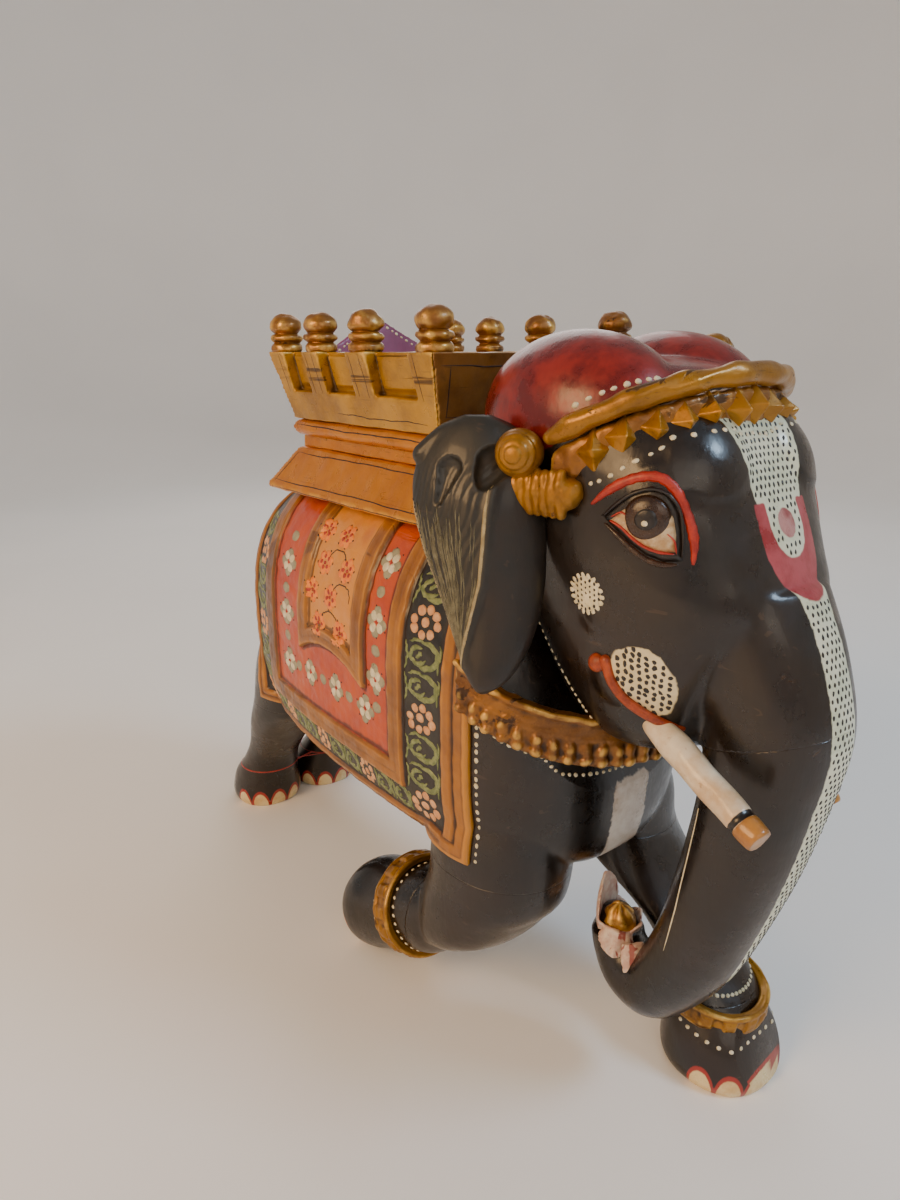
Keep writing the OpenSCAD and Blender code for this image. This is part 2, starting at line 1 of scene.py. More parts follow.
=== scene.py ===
import bpy, bmesh, math, random
import numpy as np
from mathutils import Vector, Matrix, noise
from mathutils.bvhtree import BVHTree
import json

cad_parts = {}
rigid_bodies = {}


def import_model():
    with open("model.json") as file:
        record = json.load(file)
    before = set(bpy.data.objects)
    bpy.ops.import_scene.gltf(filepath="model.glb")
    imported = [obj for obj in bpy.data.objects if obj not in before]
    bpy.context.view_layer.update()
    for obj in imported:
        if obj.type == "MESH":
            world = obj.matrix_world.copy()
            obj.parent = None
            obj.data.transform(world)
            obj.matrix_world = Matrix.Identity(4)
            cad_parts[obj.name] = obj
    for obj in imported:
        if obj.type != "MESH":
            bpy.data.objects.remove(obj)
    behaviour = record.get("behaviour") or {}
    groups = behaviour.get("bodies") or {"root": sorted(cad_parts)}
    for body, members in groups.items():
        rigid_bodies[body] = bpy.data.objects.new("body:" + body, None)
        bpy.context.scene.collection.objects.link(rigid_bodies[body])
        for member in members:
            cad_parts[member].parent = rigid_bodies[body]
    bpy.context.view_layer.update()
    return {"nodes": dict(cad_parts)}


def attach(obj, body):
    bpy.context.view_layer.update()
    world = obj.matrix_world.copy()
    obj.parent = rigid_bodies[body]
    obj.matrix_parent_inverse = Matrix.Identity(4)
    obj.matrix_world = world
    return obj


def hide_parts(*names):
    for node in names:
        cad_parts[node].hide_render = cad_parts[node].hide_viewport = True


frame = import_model()
YM = 8.77            # mm: shift along Y from the design frame to the row frame
rng = random.Random(11)
nrng = np.random.RandomState(11)
C = bpy.context.scene.collection

# ------------------------------------------------------------------ mesh tools
def to_row(v):
    v = np.asarray(v, float).copy()
    v[..., 1] += YM
    return v * 0.001

def new_obj(name, verts, faces, row=False):
    me = bpy.data.meshes.new(name)
    v = verts if row else to_row(verts)
    me.from_pydata([tuple(p) for p in np.asarray(v, float)], [], [tuple(int(i) for i in f) for f in faces])
    me.validate()
    ob = bpy.data.objects.new(name, me)
    C.objects.link(ob)
    return ob

def co_of(ob):
    n = len(ob.data.vertices)
    a = np.empty(n * 3, np.float32)
    ob.data.vertices.foreach_get("co", a)
    a = a.reshape(-1, 3).astype(float) * 1000
    a[:, 1] -= YM
    return a

def set_co(ob, v):
    ob.data.vertices.foreach_set("co", to_row(v).astype(np.float32).ravel())
    ob.data.update()

def nor_of(ob):
    n = len(ob.data.vertices)
    a = np.empty(n * 3, np.float32)
    ob.data.vertices.foreach_get("normal", a)
    return a.reshape(-1, 3).astype(float)

def edges_of(ob):
    e = np.empty(len(ob.data.edges) * 2, np.int32)
    ob.data.edges.foreach_get("vertices", e)
    return e.reshape(-1, 2)

def bake_mods(ob):
    dg = bpy.context.evaluated_depsgraph_get()
    me = bpy.data.meshes.new_from_object(ob.evaluated_get(dg))
    old = ob.data
    ob.modifiers.clear()
    ob.data = me
    bpy.data.meshes.remove(old)
    me.name = ob.name
    return ob

def join(name, obs):
    V = []; F = []; k = 0
    for o in obs:
        v = co_of(o)
        V.append(v)
        F += [[i + k for i in p.vertices] for p in o.data.polygons]
        k += len(v)
        me = o.data
        bpy.data.objects.remove(o)
        bpy.data.meshes.remove(me)
    return new_obj(name, np.concatenate(V), F)

def remesh(ob, voxel, smooth=0, factor=0.5):
    m = ob.modifiers.new("r", "REMESH"); m.mode = "VOXEL"; m.voxel_size = voxel * 0.001; m.adaptivity = 0
    if smooth:
        s = ob.modifiers.new("s", "SMOOTH"); s.iterations = smooth; s.factor = factor
    return bake_mods(ob)

def relax(ob, it, factor=0.5):
    s = ob.modifiers.new("s", "SMOOTH"); s.iterations = it; s.factor = factor
    return bake_mods(ob)

def shade(ob):
    ob.data.polygons.foreach_set("use_smooth", np.ones(len(ob.data.polygons), bool))
    ob.data.update()

def cut(ob, p, n, fill=True):
    """Keeps the side that n points away from."""
    bm = bmesh.new(); bm.from_mesh(ob.data)
    co = to_row(np.array(p, float))
    r = bmesh.ops.bisect_plane(bm, geom=bm.verts[:] + bm.edges[:] + bm.faces[:], plane_co=Vector(co), plane_no=Vector(n), clear_outer=True, dist=1e-7)
    if fill:
        ed = [g for g in r["geom_cut"] if isinstance(g, bmesh.types.BMEdge)]
        bmesh.ops.holes_fill(bm, edges=[e for e in ed if e.is_boundary], sides=0)
    bmesh.ops.recalc_face_normals(bm, faces=bm.faces[:])
    bm.to_mesh(ob.data); bm.free(); ob.data.update()
    return ob

def copy_obj(ob, name):
    o = bpy.data.objects.new(name, ob.data.copy()); C.objects.link(o); return o

def attr(ob, name, values):
    a = ob.data.attributes.get(name) or ob.data.attributes.new(name, "FLOAT", "POINT")
    a.data.foreach_set("value", np.asarray(values, np.float32).ravel())

def curvature(ob, it=2):
    """Rough convexity of each vertex in mm, smoothed: above zero on ridges, below in hollows."""
    v = co_of(ob); n = nor_of(ob); e = edges_of(ob); N = len(v)
    deg = np.bincount(e.ravel(), minlength=N).clip(1)
    def avg(x):
        out = np.zeros_like(x)
        for k in range(x.shape[1]):
            out[:, k] = (np.bincount(e[:, 0], x[e[:, 1], k], N) + np.bincount(e[:, 1], x[e[:, 0], k], N)) / deg
        return out
    m = avg(v)
    for _ in range(it): m = avg(m)
    c = ((v - m) * n).sum(1)[:, None]
    for _ in range(2): c = avg(c)
    return c[:, 0]

def fnoise(v, scale, seed=0.0, octaves=1):
    """Cheap smooth noise of points in mm, about -1 to 1, as a sum of turned sines."""
    out = np.zeros(len(v)); amp = 1.0; tot = 0.0
    r = np.random.RandomState(int(seed * 7) + 5)
    for o in range(octaves):
        for k in range(5):
            d = r.normal(size=3); d /= np.linalg.norm(d)
            f = 2 * math.pi / (scale * r.uniform(0.7, 1.5)) * (2 ** o)
            out += amp * np.sin(v @ d * f + r.uniform(0, 6.28))
        tot += amp * 2.2; amp *= 0.5
    return out / tot

# ------------------------------------------------------------------ lofts
def sp(x, e): return np.sign(x) * np.abs(x) ** e

def rings_of(T, k, n):
    T = np.array([list(r) + ([r[7]] if len(r) < 9 else []) for r in T], float)
    P = []
    m = len(T)
    for i in range(m - 1):
        a, b, c, d = T[max(i - 1, 0)], T[i], T[i + 1], T[min(i + 2, m - 1)]
        for j in range(k):
            t = j / k
            P.append(0.5 * (2 * b + (c - a) * t + (2 * a - 5 * b + 4 * c - d) * t * t + (3 * b - a - 3 * c + d) * t ** 3))
    P.append(T[-1])
    R = []
    th = np.arange(n) * 2 * math.pi / n
    for r in P:
        s, co = np.sin(th), np.cos(th)
        e = np.where(s < 0, r[8], r[7])
        v = sp(s, 2 / e) * np.where(s > 0, r[5], r[6])
        a = math.radians(r[3])
        R.append(np.stack([r[0] + sp(co, 2 / e) * r[4], r[1] + v * math.cos(a), r[2] + v * math.sin(a)], 1))
    return np.array(R)

def skin(name, R):
    m, n = R.shape[:2]
    V = R.reshape(-1, 3)
    F = [list(range(n))[::-1], [(m - 1) * n + i for i in range(n)]]
    for j in range(m - 1):
        for i in range(n):
            a = j * n + i; b = j * n + (i + 1) % n
            F.append([a, b, b + n, a + n])
    return new_obj(name, V, F)

def loft(name, T, k=6, n=72): return skin(name, rings_of(T, k, n))
def ball(name, c, r, seg=40):
    bm = bmesh.new(); bmesh.ops.create_uvsphere(bm, u_segments=seg, v_segments=seg // 2, radius=1)
    me = bpy.data.meshes.new(name); bm.to_mesh(me); bm.free()
    ob = bpy.data.objects.new(name, me); C.objects.link(ob)
    v = np.array([p.co[:] for p in me.vertices]) * np.array(r if hasattr(r, "__len__") else [r] * 3) + np.array(c)
    set_co(ob, v)
    return ob

def tube(name, P, r, n=16, caps=True):
    """A round rod through points P (mm), with radius r or a list of radii."""
    P = np.array(P, float); m = len(P)
    r = np.full(m, r, float) if not hasattr(r, "__len__") else np.array(r, float)
    T = np.gradient(P, axis=0); T /= np.linalg.norm(T, axis=1)[:, None]
    up = np.array([0, 0, 1.0]) if abs(T[0, 2]) < 0.9 else np.array([1.0, 0, 0])
    U = np.cross(T[0], up); U /= np.linalg.norm(U)
    R = []
    th = np.arange(n) * 2 * math.pi / n
    def rg(c, U, V, q): return c + q * (np.cos(th)[:, None] * U + np.sin(th)[:, None] * V)
    for i in range(m):
        U = U - T[i] * (U @ T[i]); U /= np.linalg.norm(U); V = np.cross(T[i], U)
        if i == 0 and caps:
            for a in (0.15, 0.5, 0.8): R.append(rg(P[0] - T[0] * r[0] * math.cos(a * math.pi / 2), U, V, r[0] * math.sin(a * math.pi / 2)))
        R.append(rg(P[i], U, V, r[i]))
        if i == m - 1 and caps:
            for a in (0.8, 0.5, 0.15): R.append(rg(P[-1] + T[-1] * r[-1] * math.cos(a * math.pi / 2), U, V, r[-1] * math.sin(a * math.pi / 2)))
    return skin(name, np.array(R))

def spline(P, n):
    """n points on a Catmull-Rom curve through P."""
    P = np.array(P, float); m = len(P); out = []
    for s in np.linspace(0, m - 1 - 1e-9, n):
        i = int(s); t = s - i
        a, b, c, d = P[max(i - 1, 0)], P[i], P[i + 1], P[min(i + 2, m - 1)]
        out.append(0.5 * (2 * b + (c - a) * t + (2 * a - 5 * b + 4 * c - d) * t * t + (3 * b - a - 3 * c + d) * t ** 3))
    return np.array(out)

def mirror_obj(ob, name):
    o = copy_obj(ob, name); v = co_of(o); v[:, 0] *= -1; set_co(o, v)
    o.data.flip_normals(); return o

# ------------------------------------------------------------------ shapes shared with the CAD
HW = 86.0
TORSO = [(0, r[0], r[1], 90, r[2], r[3], r[4], r[5], r[6]) for r in [
    (202, 212, 14, 14, 20, 2, 2), (198, 212, 32, 34, 44, 2.1, 2.2), (186, 213, 45, 58, 72, 2.2, 2.6),
    (160, 215, 57, 76, 86, 2.3, 3.2), (124, 219, HW - 16, 87, 93, 2.4, 4), (86, 224, HW - 8, 93, 99, 2.5, 4.6),
    (30, 226, HW - 2, 94, 102, 2.5, 5), (-50, 226, HW, 94, 102, 2.5, 5), (-100, 224, HW - 2, 93, 98, 2.5, 5),
    (-128, 220, HW - 6, 92, 93, 2.5, 4.6), (-146, 213, HW - 15, 84, 86, 2.5, 3.6), (-160, 204, 53, 62, 76, 2.5, 3),
    (-167, 200, 35, 40, 58, 2.4, 2.6), (-170, 198, 16, 18, 32, 2.2, 2.2)]]
HEAD = [(0, r[1], r[0], 0, r[2], r[3], r[4], r[5]) for r in [
    (214, -190, 20, 12, 14, 2), (220, -188, 38, 24, 30, 2.2), (234, -186, 49, 38, 42, 2.4), (252, -184, 55, 48, 52, 2.5),
    (272, -180, 59, 56, 66, 2.5), (292, -176, 62, 64, 78, 2.5), (312, -172, 65, 66, 76, 2.6), (334, -168, 66, 62, 71, 2.8),
    (352, -165, 66, 58, 64, 2.8), (370, -162, 62, 54, 58, 2.7), (384, -160, 54, 48, 50, 2.5), (393, -160, 38, 36, 38, 2.3), (397, -160, 16, 16, 16, 2)]]
TRUNK = [(0, -226, 300, -8, 37, 34, 30, 2.2), (0, -236, 272, -6, 35, 34, 34, 2.2), (0, -246, 240, 0, 32, 30, 33, 2.2),
    (-1, -245, 205, 5, 29, 27, 29, 2.2), (-2, -239, 170, 9, 27, 25, 27, 2.2), (-3, -231, 138, 15, 25, 23, 25, 2.2),
    (-4, -221, 106, 24, 22, 21, 23, 2.2), (-5, -209, 82, 42, 20, 19, 21, 2.2), (-6, -196, 67, 72, 18, 18, 20, 2.2),
    (-6, -182, 68, 112, 17, 16, 17, 2.2), (-6, -174, 78, 152, 15, 14, 15, 2.2), (-6, -172, 88, 172, 15, 14, 15, 2.2)]
NECK_P = (0, -112, 306); NECK_LEAN = math.radians(24)
NECK_N = (0, math.cos(NECK_LEAN), -math.sin(NECK_LEAN))   # points back into the body
TCUT_P = (0, -212, 222); TL = math.radians(20)
TCUT_N = (0, -math.sin(TL), -math.cos(TL))                  # points down into the trunk

# ------------------------------------------------------------------ body block and legs
V1 = 1.15
R_FORE = [(-46, -87, 50, -16, 17, 18, 18, 2.1), (-46, -89, 54, -16, 29, 30, 31, 2.1), (-46, -94, 66, -12, 35, 37, 39, 2.2),
    (-45, -102, 86, -6, 38, 40, 43, 2.1), (-44, -109, 106, 0, 38, 40, 46, 2.1), (-44, -112, 135, 0, 38, 40, 46, 2.1),
    (-43, -110, 165, 0, 35, 38, 42, 2.1), (-40, -108, 200, 0, 26, 26, 30, 2.1)]
L_FORE = [(42, -214, 0, 0, 31, 30, 31, 2.2), (42, -214, 8, 0, 33, 33, 33, 2.2), (42, -212, 26, 2, 31, 31, 32, 2.1), (44, -206, 44, 6, 26, 26, 26, 2.1),
    (46, -192, 62, 14, 25, 26, 26, 2.1), (47, -170, 84, 20, 29, 32, 32, 2.1), (46, -142, 104, 16, 34, 38, 38, 2.1), (45, -118, 124, 6, 37, 40, 44, 2.1),
    (44, -112, 145, 0, 38, 40, 46, 2.1), (42, -108, 170, 0, 34, 36, 40, 2.1), (40, -108, 200, 0, 26, 26, 30, 2.1)]
H_LEG = [(30, 230, 0, 0, 28, 28, 28, 2.2), (30, 230, 8, 0, 30, 30, 30, 2.2), (30, 227, 26, 0, 28, 28, 29, 2.1), (31, 214, 48, -12, 24, 23, 25, 2.1),
    (33, 192, 74, -20, 25, 26, 30, 2.1), (36, 171, 102, -12, 28, 32, 34, 2.1), (37, 158, 124, 0, 28, 32, 36, 2.1), (37, 148, 160, 0, 28, 32, 40, 2.1), (34, 140, 200, 0, 24, 26, 34, 2.1)]
R_FOOT = [(-56 - (r[0] + 22) * 0.08, r[0], r[1], 90, r[2], r[3], r[4], 2.1) for r in
    [(9, 32, 15, 14, 14), (5, 32, 25, 25, 26), (-6, 33, 30, 31, 33), (-22, 37, 30, 31, 34), (-40, 47, 29, 29, 33), (-58, 56, 29, 29, 32), (-76, 62, 29, 29, 30), (-92, 74, 26, 26, 26)]]
def mir(T): return [(-r[0],) + tuple(r[1:]) for r in T]
body = join("body_merge", [loft("a", TORSO), loft("b", R_FORE), loft("c", L_FORE), loft("d", H_LEG), loft("e", mir(H_LEG)), loft("f", R_FOOT)])
body = remesh(body, V1, 6, 0.6)
# flat seat for the howdah
v = co_of(body); v[:, 2] = np.where((v[:, 2] > 308.8), 308.8, v[:, 2]); set_co(body, v)
cut(body, NECK_P, tuple(-np.array(NECK_N)))

def region(ob, name, keep):
    """Splits the faces whose centre passes keep(centres) off as a closed piece; both sides stay closed."""
    o = copy_obj(ob, name)
    n = len(o.data.polygons); c = np.empty(n * 3, np.float32); o.data.polygons.foreach_get("center", c)
    c = c.reshape(-1, 3).astype(float) * 1000; c[:, 1] -= YM
    k = keep(c)
    bm = bmesh.new(); bm.from_mesh(o.data); bm.faces.ensure_lookup_table()
    bmesh.ops.delete(bm, geom=[bm.faces[i] for i in np.nonzero(~k)[0]], context="FACES")
    ed = [e for e in bm.edges if e.is_boundary]
    if ed: bmesh.ops.holes_fill(bm, edges=ed, sides=0)
    bmesh.ops.recalc_face_normals(bm, faces=bm.faces[:])
    bm.to_mesh(o.data); bm.free(); o.data.update()
    return o
def plane_line(ob, p, n):
    bm = bmesh.new(); bm.from_mesh(ob.data)
    bmesh.ops.bisect_plane(bm, geom=bm.verts[:] + bm.edges[:] + bm.faces[:], plane_co=Vector(to_row(np.array(p, float))), plane_no=Vector(n), dist=1e-7)
    bm.to_mesh(ob.data); bm.free(); ob.data.update()
LZ = 122.0
plane_line(body, (0, 0, LZ), (0, 0, 1))
plane_line(body, (0, -68, 0), (0, 1, 0))
plane_line(body, (0, 0, 46), (0, 0, 1))
low = lambda c: c[:, 2] < LZ
torso = region(body, "torso_block", lambda c: ~low(c))
right_foreleg = region(body, "right_foreleg_carved", lambda c: low(c) & (c[:, 0] < 0) & (c[:, 1] < -68))
right_forefoot = region(body, "right_forefoot_carved", lambda c: low(c) & (c[:, 0] < 0) & (c[:, 1] > -68) & (c[:, 1] < 80))
left_foreleg = region(body, "left_foreleg_carved", lambda c: low(c) & (c[:, 0] > 0) & (c[:, 1] < 60) & (c[:, 2] > 46))
left_forefoot = region(body, "left_forefoot_carved", lambda c: low(c) & (c[:, 0] > 0) & (c[:, 1] < 60) & (c[:, 2] < 46))
right_hind = region(body, "right_hind_leg_carved", lambda c: low(c) & (c[:, 0] < 0) & (c[:, 1] > 80))
left_hind = region(body, "left_hind_leg_carved", lambda c: low(c) & (c[:, 0] > 0) & (c[:, 1] > 80))
bpy.data.objects.remove(body)

# ------------------------------------------------------------------ head and trunk
parts = [loft("h", HEAD), loft("t", TRUNK)]
parts.append(tube("curl", spline(np.array([(-5, -216, 92), (-6, -203, 70), (-6, -190, 64.5), (-6, -178, 70), (-6, -171.5, 82), (-6, -170.5, 90)], float), 40), np.interp(np.arange(40), [0, 10, 20, 30, 39], [18, 18.5, 16.5, 13.5, 11.5]), 30))
for s in (-1, 1):
    parts.append(ball("dm", (s * 32, -150, 370), (38, 54, 39.5), 64))
    parts.append(ball("br", (s * 29, -212, 351), (24, 24, 24)))
    parts.append(ball("br", (s * 44, -206, 342), (19, 19, 20)))
    parts.append(ball("br", (s * 47, -200, 326), (15, 18, 18)))
    parts.append(ball("ck", (s * 42, -196, 262), (17, 20, 22)))
    parts.append(ball("ck", (s * 47, -188, 290), (16, 18, 20)))
head = join("head_merge", parts)
head = remesh(head, V1, 30, 0.6)
v = co_of(head); v[:, 1] = np.where(v[:, 2] > 306, np.minimum(v[:, 1], -106.6), v[:, 1]); set_co(head, v)
trunk = copy_obj(head, "trunk_carved")
cut(trunk, TCUT_P, tuple(-np.array(TCUT_N)))
cut(head, TCUT_P, TCUT_N)
cut(head, NECK_P, NECK_N)
head.name = "head_block"
# the brow bosses run into the forehead without a crease
bm = bmesh.new(); bm.from_mesh(head.data); bm.verts.ensure_lookup_table()
w0 = np.array([v_.co[:] for v_ in bm.verts]); P0 = co_of(head); nb = [[e.other_vert(v_).index for e in v_.link_edges] for v_ in bm.verts]
d_ = np.minimum(*[np.sqrt(((P0[:, 0] - sx * 37) / 34) ** 2 + ((P0[:, 1] + 222) / 40) ** 2 + ((P0[:, 2] - 345) / 36) ** 2) for sx in (-1, 1)])
mask = np.clip((1.25 - d_) / 0.35, 0, 1); sel = np.where(mask > 0)[0]; L_ = max(len(nb[i]) for i in sel)
IDX = np.array([nb[i] + [i] * (L_ - len(nb[i])) for i in sel]); NB_ = np.array([len(nb[i]) for i in sel])[:, None]
P1 = P0.copy()
for it in range(int(420 * (1.6 / V1) ** 2)):
    q_ = (P1[IDX].sum(1) - P1[sel] * (L_ - NB_)) / NB_; P1[sel] += (q_ - P1[sel]) * 0.6 * mask[sel][:, None]
push = np.clip(((P0[sel] - P1[sel]) * nor_of(head)[sel]).sum(1), 0, 3.0) * 0.5
P1[sel] += nor_of(head)[sel] * push[:, None]
set_co(head, P1); bm.free()

# ------------------------------------------------------------------ materials
def rgb(h):
    h = h.lstrip("#"); c = [int(h[i:i + 2], 16) / 255 for i in (0, 2, 4)]
    return tuple(x / 12.92 if x <= 0.04045 else ((x + 0.055) / 1.055) ** 2.4 for x in c) + (1.0,)

class Mat:
    def __init__(s, name, rough=0.4, metal=0.0, coat=0.0, coat_rough=0.2, spec=0.5):
        s.m = bpy.data.materials.new(name); s.m.use_nodes = True
        s.t = s.m.node_tree; s.t.nodes.clear()
        s.out = s.t.nodes.new("ShaderNodeOutputMaterial"); s.b = s.t.nodes.new("ShaderNodeBsdfPrincipled")
        s.t.links.new(s.b.outputs[0], s.out.inputs[0])
        s.b.inputs["Roughness"].default_value = rough; s.b.inputs["Metallic"].default_value = metal
        s.b.inputs["Coat Weight"].default_value = coat; s.b.inputs["Coat Roughness"].default_value = coat_rough
        s.b.inputs["Specular IOR Level"].default_value = spec
        s.tc = s.t.nodes.new("ShaderNodeTexCoord").outputs["Object"]; s.zones = []
    def link(s, a, b): s.t.links.new(a, b)
    def n(s, kind): return s.t.nodes.new(kind)
    def put(s, sock, v):
        if hasattr(v, "links"): s.link(v, sock)
        else: sock.default_value = v
    def vec(s, scale=(1, 1, 1), rot=(0, 0, 0)):
        m = s.n("ShaderNodeMapping"); m.inputs["Scale"].default_value = scale; m.inputs["Rotation"].default_value = rot
        s.link(s.tc, m.inputs[0]); return m.outputs[0]
    def noise(s, scale, detail=3, rough=0.55, vec=None, dist=0.0):
        x = s.n("ShaderNodeTexNoise"); x.inputs["Scale"].default_value = scale; x.inputs["Detail"].default_value = detail
        x.inputs["Roughness"].default_value = rough; x.inputs["Distortion"].default_value = dist
        s.link(vec or s.tc, x.inputs["Vector"]); return x.outputs["Fac"]
    def voro(s, scale, vec=None, feature="F1"):
        x = s.n("ShaderNodeTexVoronoi"); x.feature = feature; x.inputs["Scale"].default_value = scale
        s.link(vec or s.tc, x.inputs["Vector"]); return x.outputs["Distance"]
    def step(s, v, lo, hi, a=0.0, b=1.0):
        x = s.n("ShaderNodeMapRange"); x.interpolation_type = "SMOOTHSTEP"
        s.put(x.inputs["Value"], v); x.inputs["From Min"].default_value = lo; x.inputs["From Max"].default_value = hi
        x.inputs["To Min"].default_value = a; x.inputs["To Max"].default_value = b
        return x.outputs["Result"]
    def math(s, op, a, b=0.0, c=None):
        x = s.n("ShaderNodeMath"); x.operation = op; s.put(x.inputs[0], a); s.put(x.inputs[1], b)
        if c is not None: s.put(x.inputs[2], c)
        return x.outputs[0]
    def mix(s, f, a, b, mode="MIX"):
        x = s.n("ShaderNodeMix"); x.data_type = "RGBA"; x.blend_type = mode
        s.put(x.inputs[0], f); s.put(x.inputs[6], a); s.put(x.inputs[7], b); return x.outputs[2]
    def ramp(s, f, stops):
        x = s.n("ShaderNodeValToRGB"); e = x.color_ramp.elements
        while len(e) < len(stops): e.new(0.5)
        for k, (p, c) in enumerate(stops): e[k].position = p; e[k].color = c
        s.put(x.inputs[0], f); return x.outputs[0]
    def at(s, name):
        x = s.n("ShaderNodeAttribute"); x.attribute_name = name; return x.outputs["Fac"]
    def xyz(s):
        x = s.n("ShaderNodeSeparateXYZ"); s.link(s.tc, x.inputs[0]); return x.outputs
    def bump(s, h, dist=0.0004, strength=0.6):
        x = s.n("ShaderNodeBump"); x.inputs["Strength"].default_value = strength; x.inputs["Distance"].default_value = dist
        s.link(h, x.inputs["Height"])
        old = s.b.inputs["Normal"].links
        if old: s.link(old[0].from_socket, x.inputs["Normal"])
        s.link(x.outputs[0], s.b.inputs["Normal"])
    def color(s, c): s.put(s.b.inputs["Base Color"], c)
    def rough(s, r): s.link(r, s.b.inputs["Roughness"])

def wood_lines(m, axis=1, scale=90, squeeze=0.035, lo=0.60, hi=0.66):
    """Long thin dark lines of grain along an axis."""
    sc = [1, 1, 1]; sc[axis] = squeeze
    return m.step(m.noise(scale, 4, 0.6, m.vec(tuple(sc)), 0.6), lo, hi)

def lacquer(name, base, alt, edge_wear_and_highlight="#6b4a2a", rough=(0.22, 0.42), red=None, zones=()):
    """Brushed dark lacquer over wood with soft streaks, fine scratches, rubbed edges that also carry a painted
    highlight, and painted shade in hollows.
    """
    m = Mat(name, coat=0.25, coat_rough=0.12)
    big = m.noise(14, 4, 0.6); fine = m.noise(420, 3, 0.6, m.vec((1, 1, 0.18)))
    c = m.mix(m.step(big, 0.35, 0.68), rgb(base), rgb(alt))
    c = m.mix(m.step(fine, 0.52, 0.75, 0, 0.45), c, rgb(alt))
    for z in zones: c = z(m, c)
    cv = m.at("cv")
    # convex ridges take a lighter rubbed colour: partly real edge wear, partly a painted highlight
    edge_rub_and_highlight = m.math("MULTIPLY", m.step(cv, 0.45, 0.9), m.step(m.noise(95, 5, 0.7), 0.5, 0.66))
    c = m.mix(m.math("MULTIPLY", edge_rub_and_highlight, 0.55), c, rgb(edge_wear_and_highlight))
    # painted shade: hollows darken towards near black
    hollow_shade = m.step(cv, -0.1, -0.5, 0, 0.7)
    c = m.mix(hollow_shade, c, rgb("#0a0705"))
    scr = m.step(m.noise(160, 2, 0.5, m.vec((1, 0.12, 1), (0.6, 0.3, 0.2)), 1.2), 0.68, 0.74)
    c = m.mix(m.math("MULTIPLY", scr, 0.22), c, rgb("#5d4630"))
    m.color(c)
    m.rough(m.math("ADD", m.step(m.noise(60, 5, 0.65), 0.3, 0.7, rough[0], rough[1]), m.math("MULTIPLY", edge_rub_and_highlight, 0.25)))
    m.bump(m.noise(38, 3, 0.5), 0.0016, 0.5); m.bump(fine, 0.00025, 0.5)
    return m

def gilt(name, base, alt, deep, axis=1, metal=0.45, rough=(0.26, 0.5), lines=0.8, edge_wear_and_highlight=None, lo=0.61):
    """Gold or bronze paint brushed on wood whose grain shows as thin dark lines, with painted shade in hollows and a
    painted highlight on ridges.
    """
    m = Mat(name, metal=metal, coat=0.2, coat_rough=0.15)
    big = m.noise(26, 5, 0.62); fl = m.noise(700, 2, 0.5)
    c = m.mix(m.step(big, 0.32, 0.66), rgb(base), rgb(alt))
    c = m.mix(m.step(fl, 0.45, 0.75, 0, 0.35), c, rgb(alt))
    ln = wood_lines(m, axis, 95, 0.03, lo, lo + 0.05)
    c = m.mix(m.math("MULTIPLY", ln, lines), c, rgb(deep))
    pores = m.step(m.noise(900, 2, 0.5, m.vec(tuple(0.06 if k == axis else 1 for k in range(3)))), 0.66, 0.72)
    c = m.mix(m.math("MULTIPLY", pores, 0.35), c, rgb(deep))
    cv = m.at("cv")
    # painted shade: hollows darken towards the deep colour
    c = m.mix(m.step(cv, -0.03, -0.22, 0, 0.85), c, rgb(deep))
    # painted highlight on convex ridges, partly rubbed wear: patches there lighten towards a pale gold
    c = m.mix(m.math("MULTIPLY", m.step(cv, 0.08, 0.3), m.step(m.noise(70, 4, 0.6), 0.4, 0.6, 0, 0.6)), c, rgb(edge_wear_and_highlight or "#ffcf6a"))
    smut = m.step(m.noise(33, 6, 0.7), 0.58, 0.78, 0, 0.45)
    c = m.mix(smut, c, rgb(deep))
    m.color(c)
    m.rough(m.math("ADD", m.step(m.noise(80, 4, 0.6), 0.3, 0.7, rough[0], rough[1]), m.math("MULTIPLY", ln, 0.2)))
    m.bump(m.math("SUBTRACT", m.noise(120, 3, 0.6), m.math("MULTIPLY", ln, 0.6)), 0.0007, 0.6); m.bump(fl, 0.00012, 0.6)
    return m

def daub(name, base, alt, rough=0.42, deep=None):
    """A thick brushed dab of paint with uneven cover."""
    m = Mat(name, rough=rough, coat=0.15, coat_rough=0.2)
    c = m.mix(m.step(m.noise(230, 4, 0.6), 0.35, 0.65), rgb(base), rgb(alt))
    c = m.mix(m.step(m.noise(900, 2, 0.5), 0.55, 0.75, 0, 0.35), c, rgb(deep or alt))
    m.color(c); m.rough(m.step(m.noise(300, 3), 0.3, 0.7, rough - 0.08, rough + 0.12)); m.bump(m.noise(800, 3, 0.6), 0.00015, 0.7)
    return m

def zone(name, col, alt=None, soft=0.5, rag=1.2, scale=260, cover=1.0):
    """Paints the surface where the attribute is above zero (mm inside the edge), with a brushed edge."""
    def f(m, c):
        m.zones.append(name)
        d = m.math("ADD", m.at(name), m.math("MULTIPLY", m.math("SUBTRACT", m.noise(scale, 2, 0.5), 0.5), rag * 2))
        k = m.step(d, -soft, soft, 0, cover)
        p = rgb(col)
        if alt: p = m.mix(m.step(m.noise(60, 4, 0.65), 0.35, 0.68), rgb(col), rgb(alt))
        return m.mix(k, c, p)
    return f

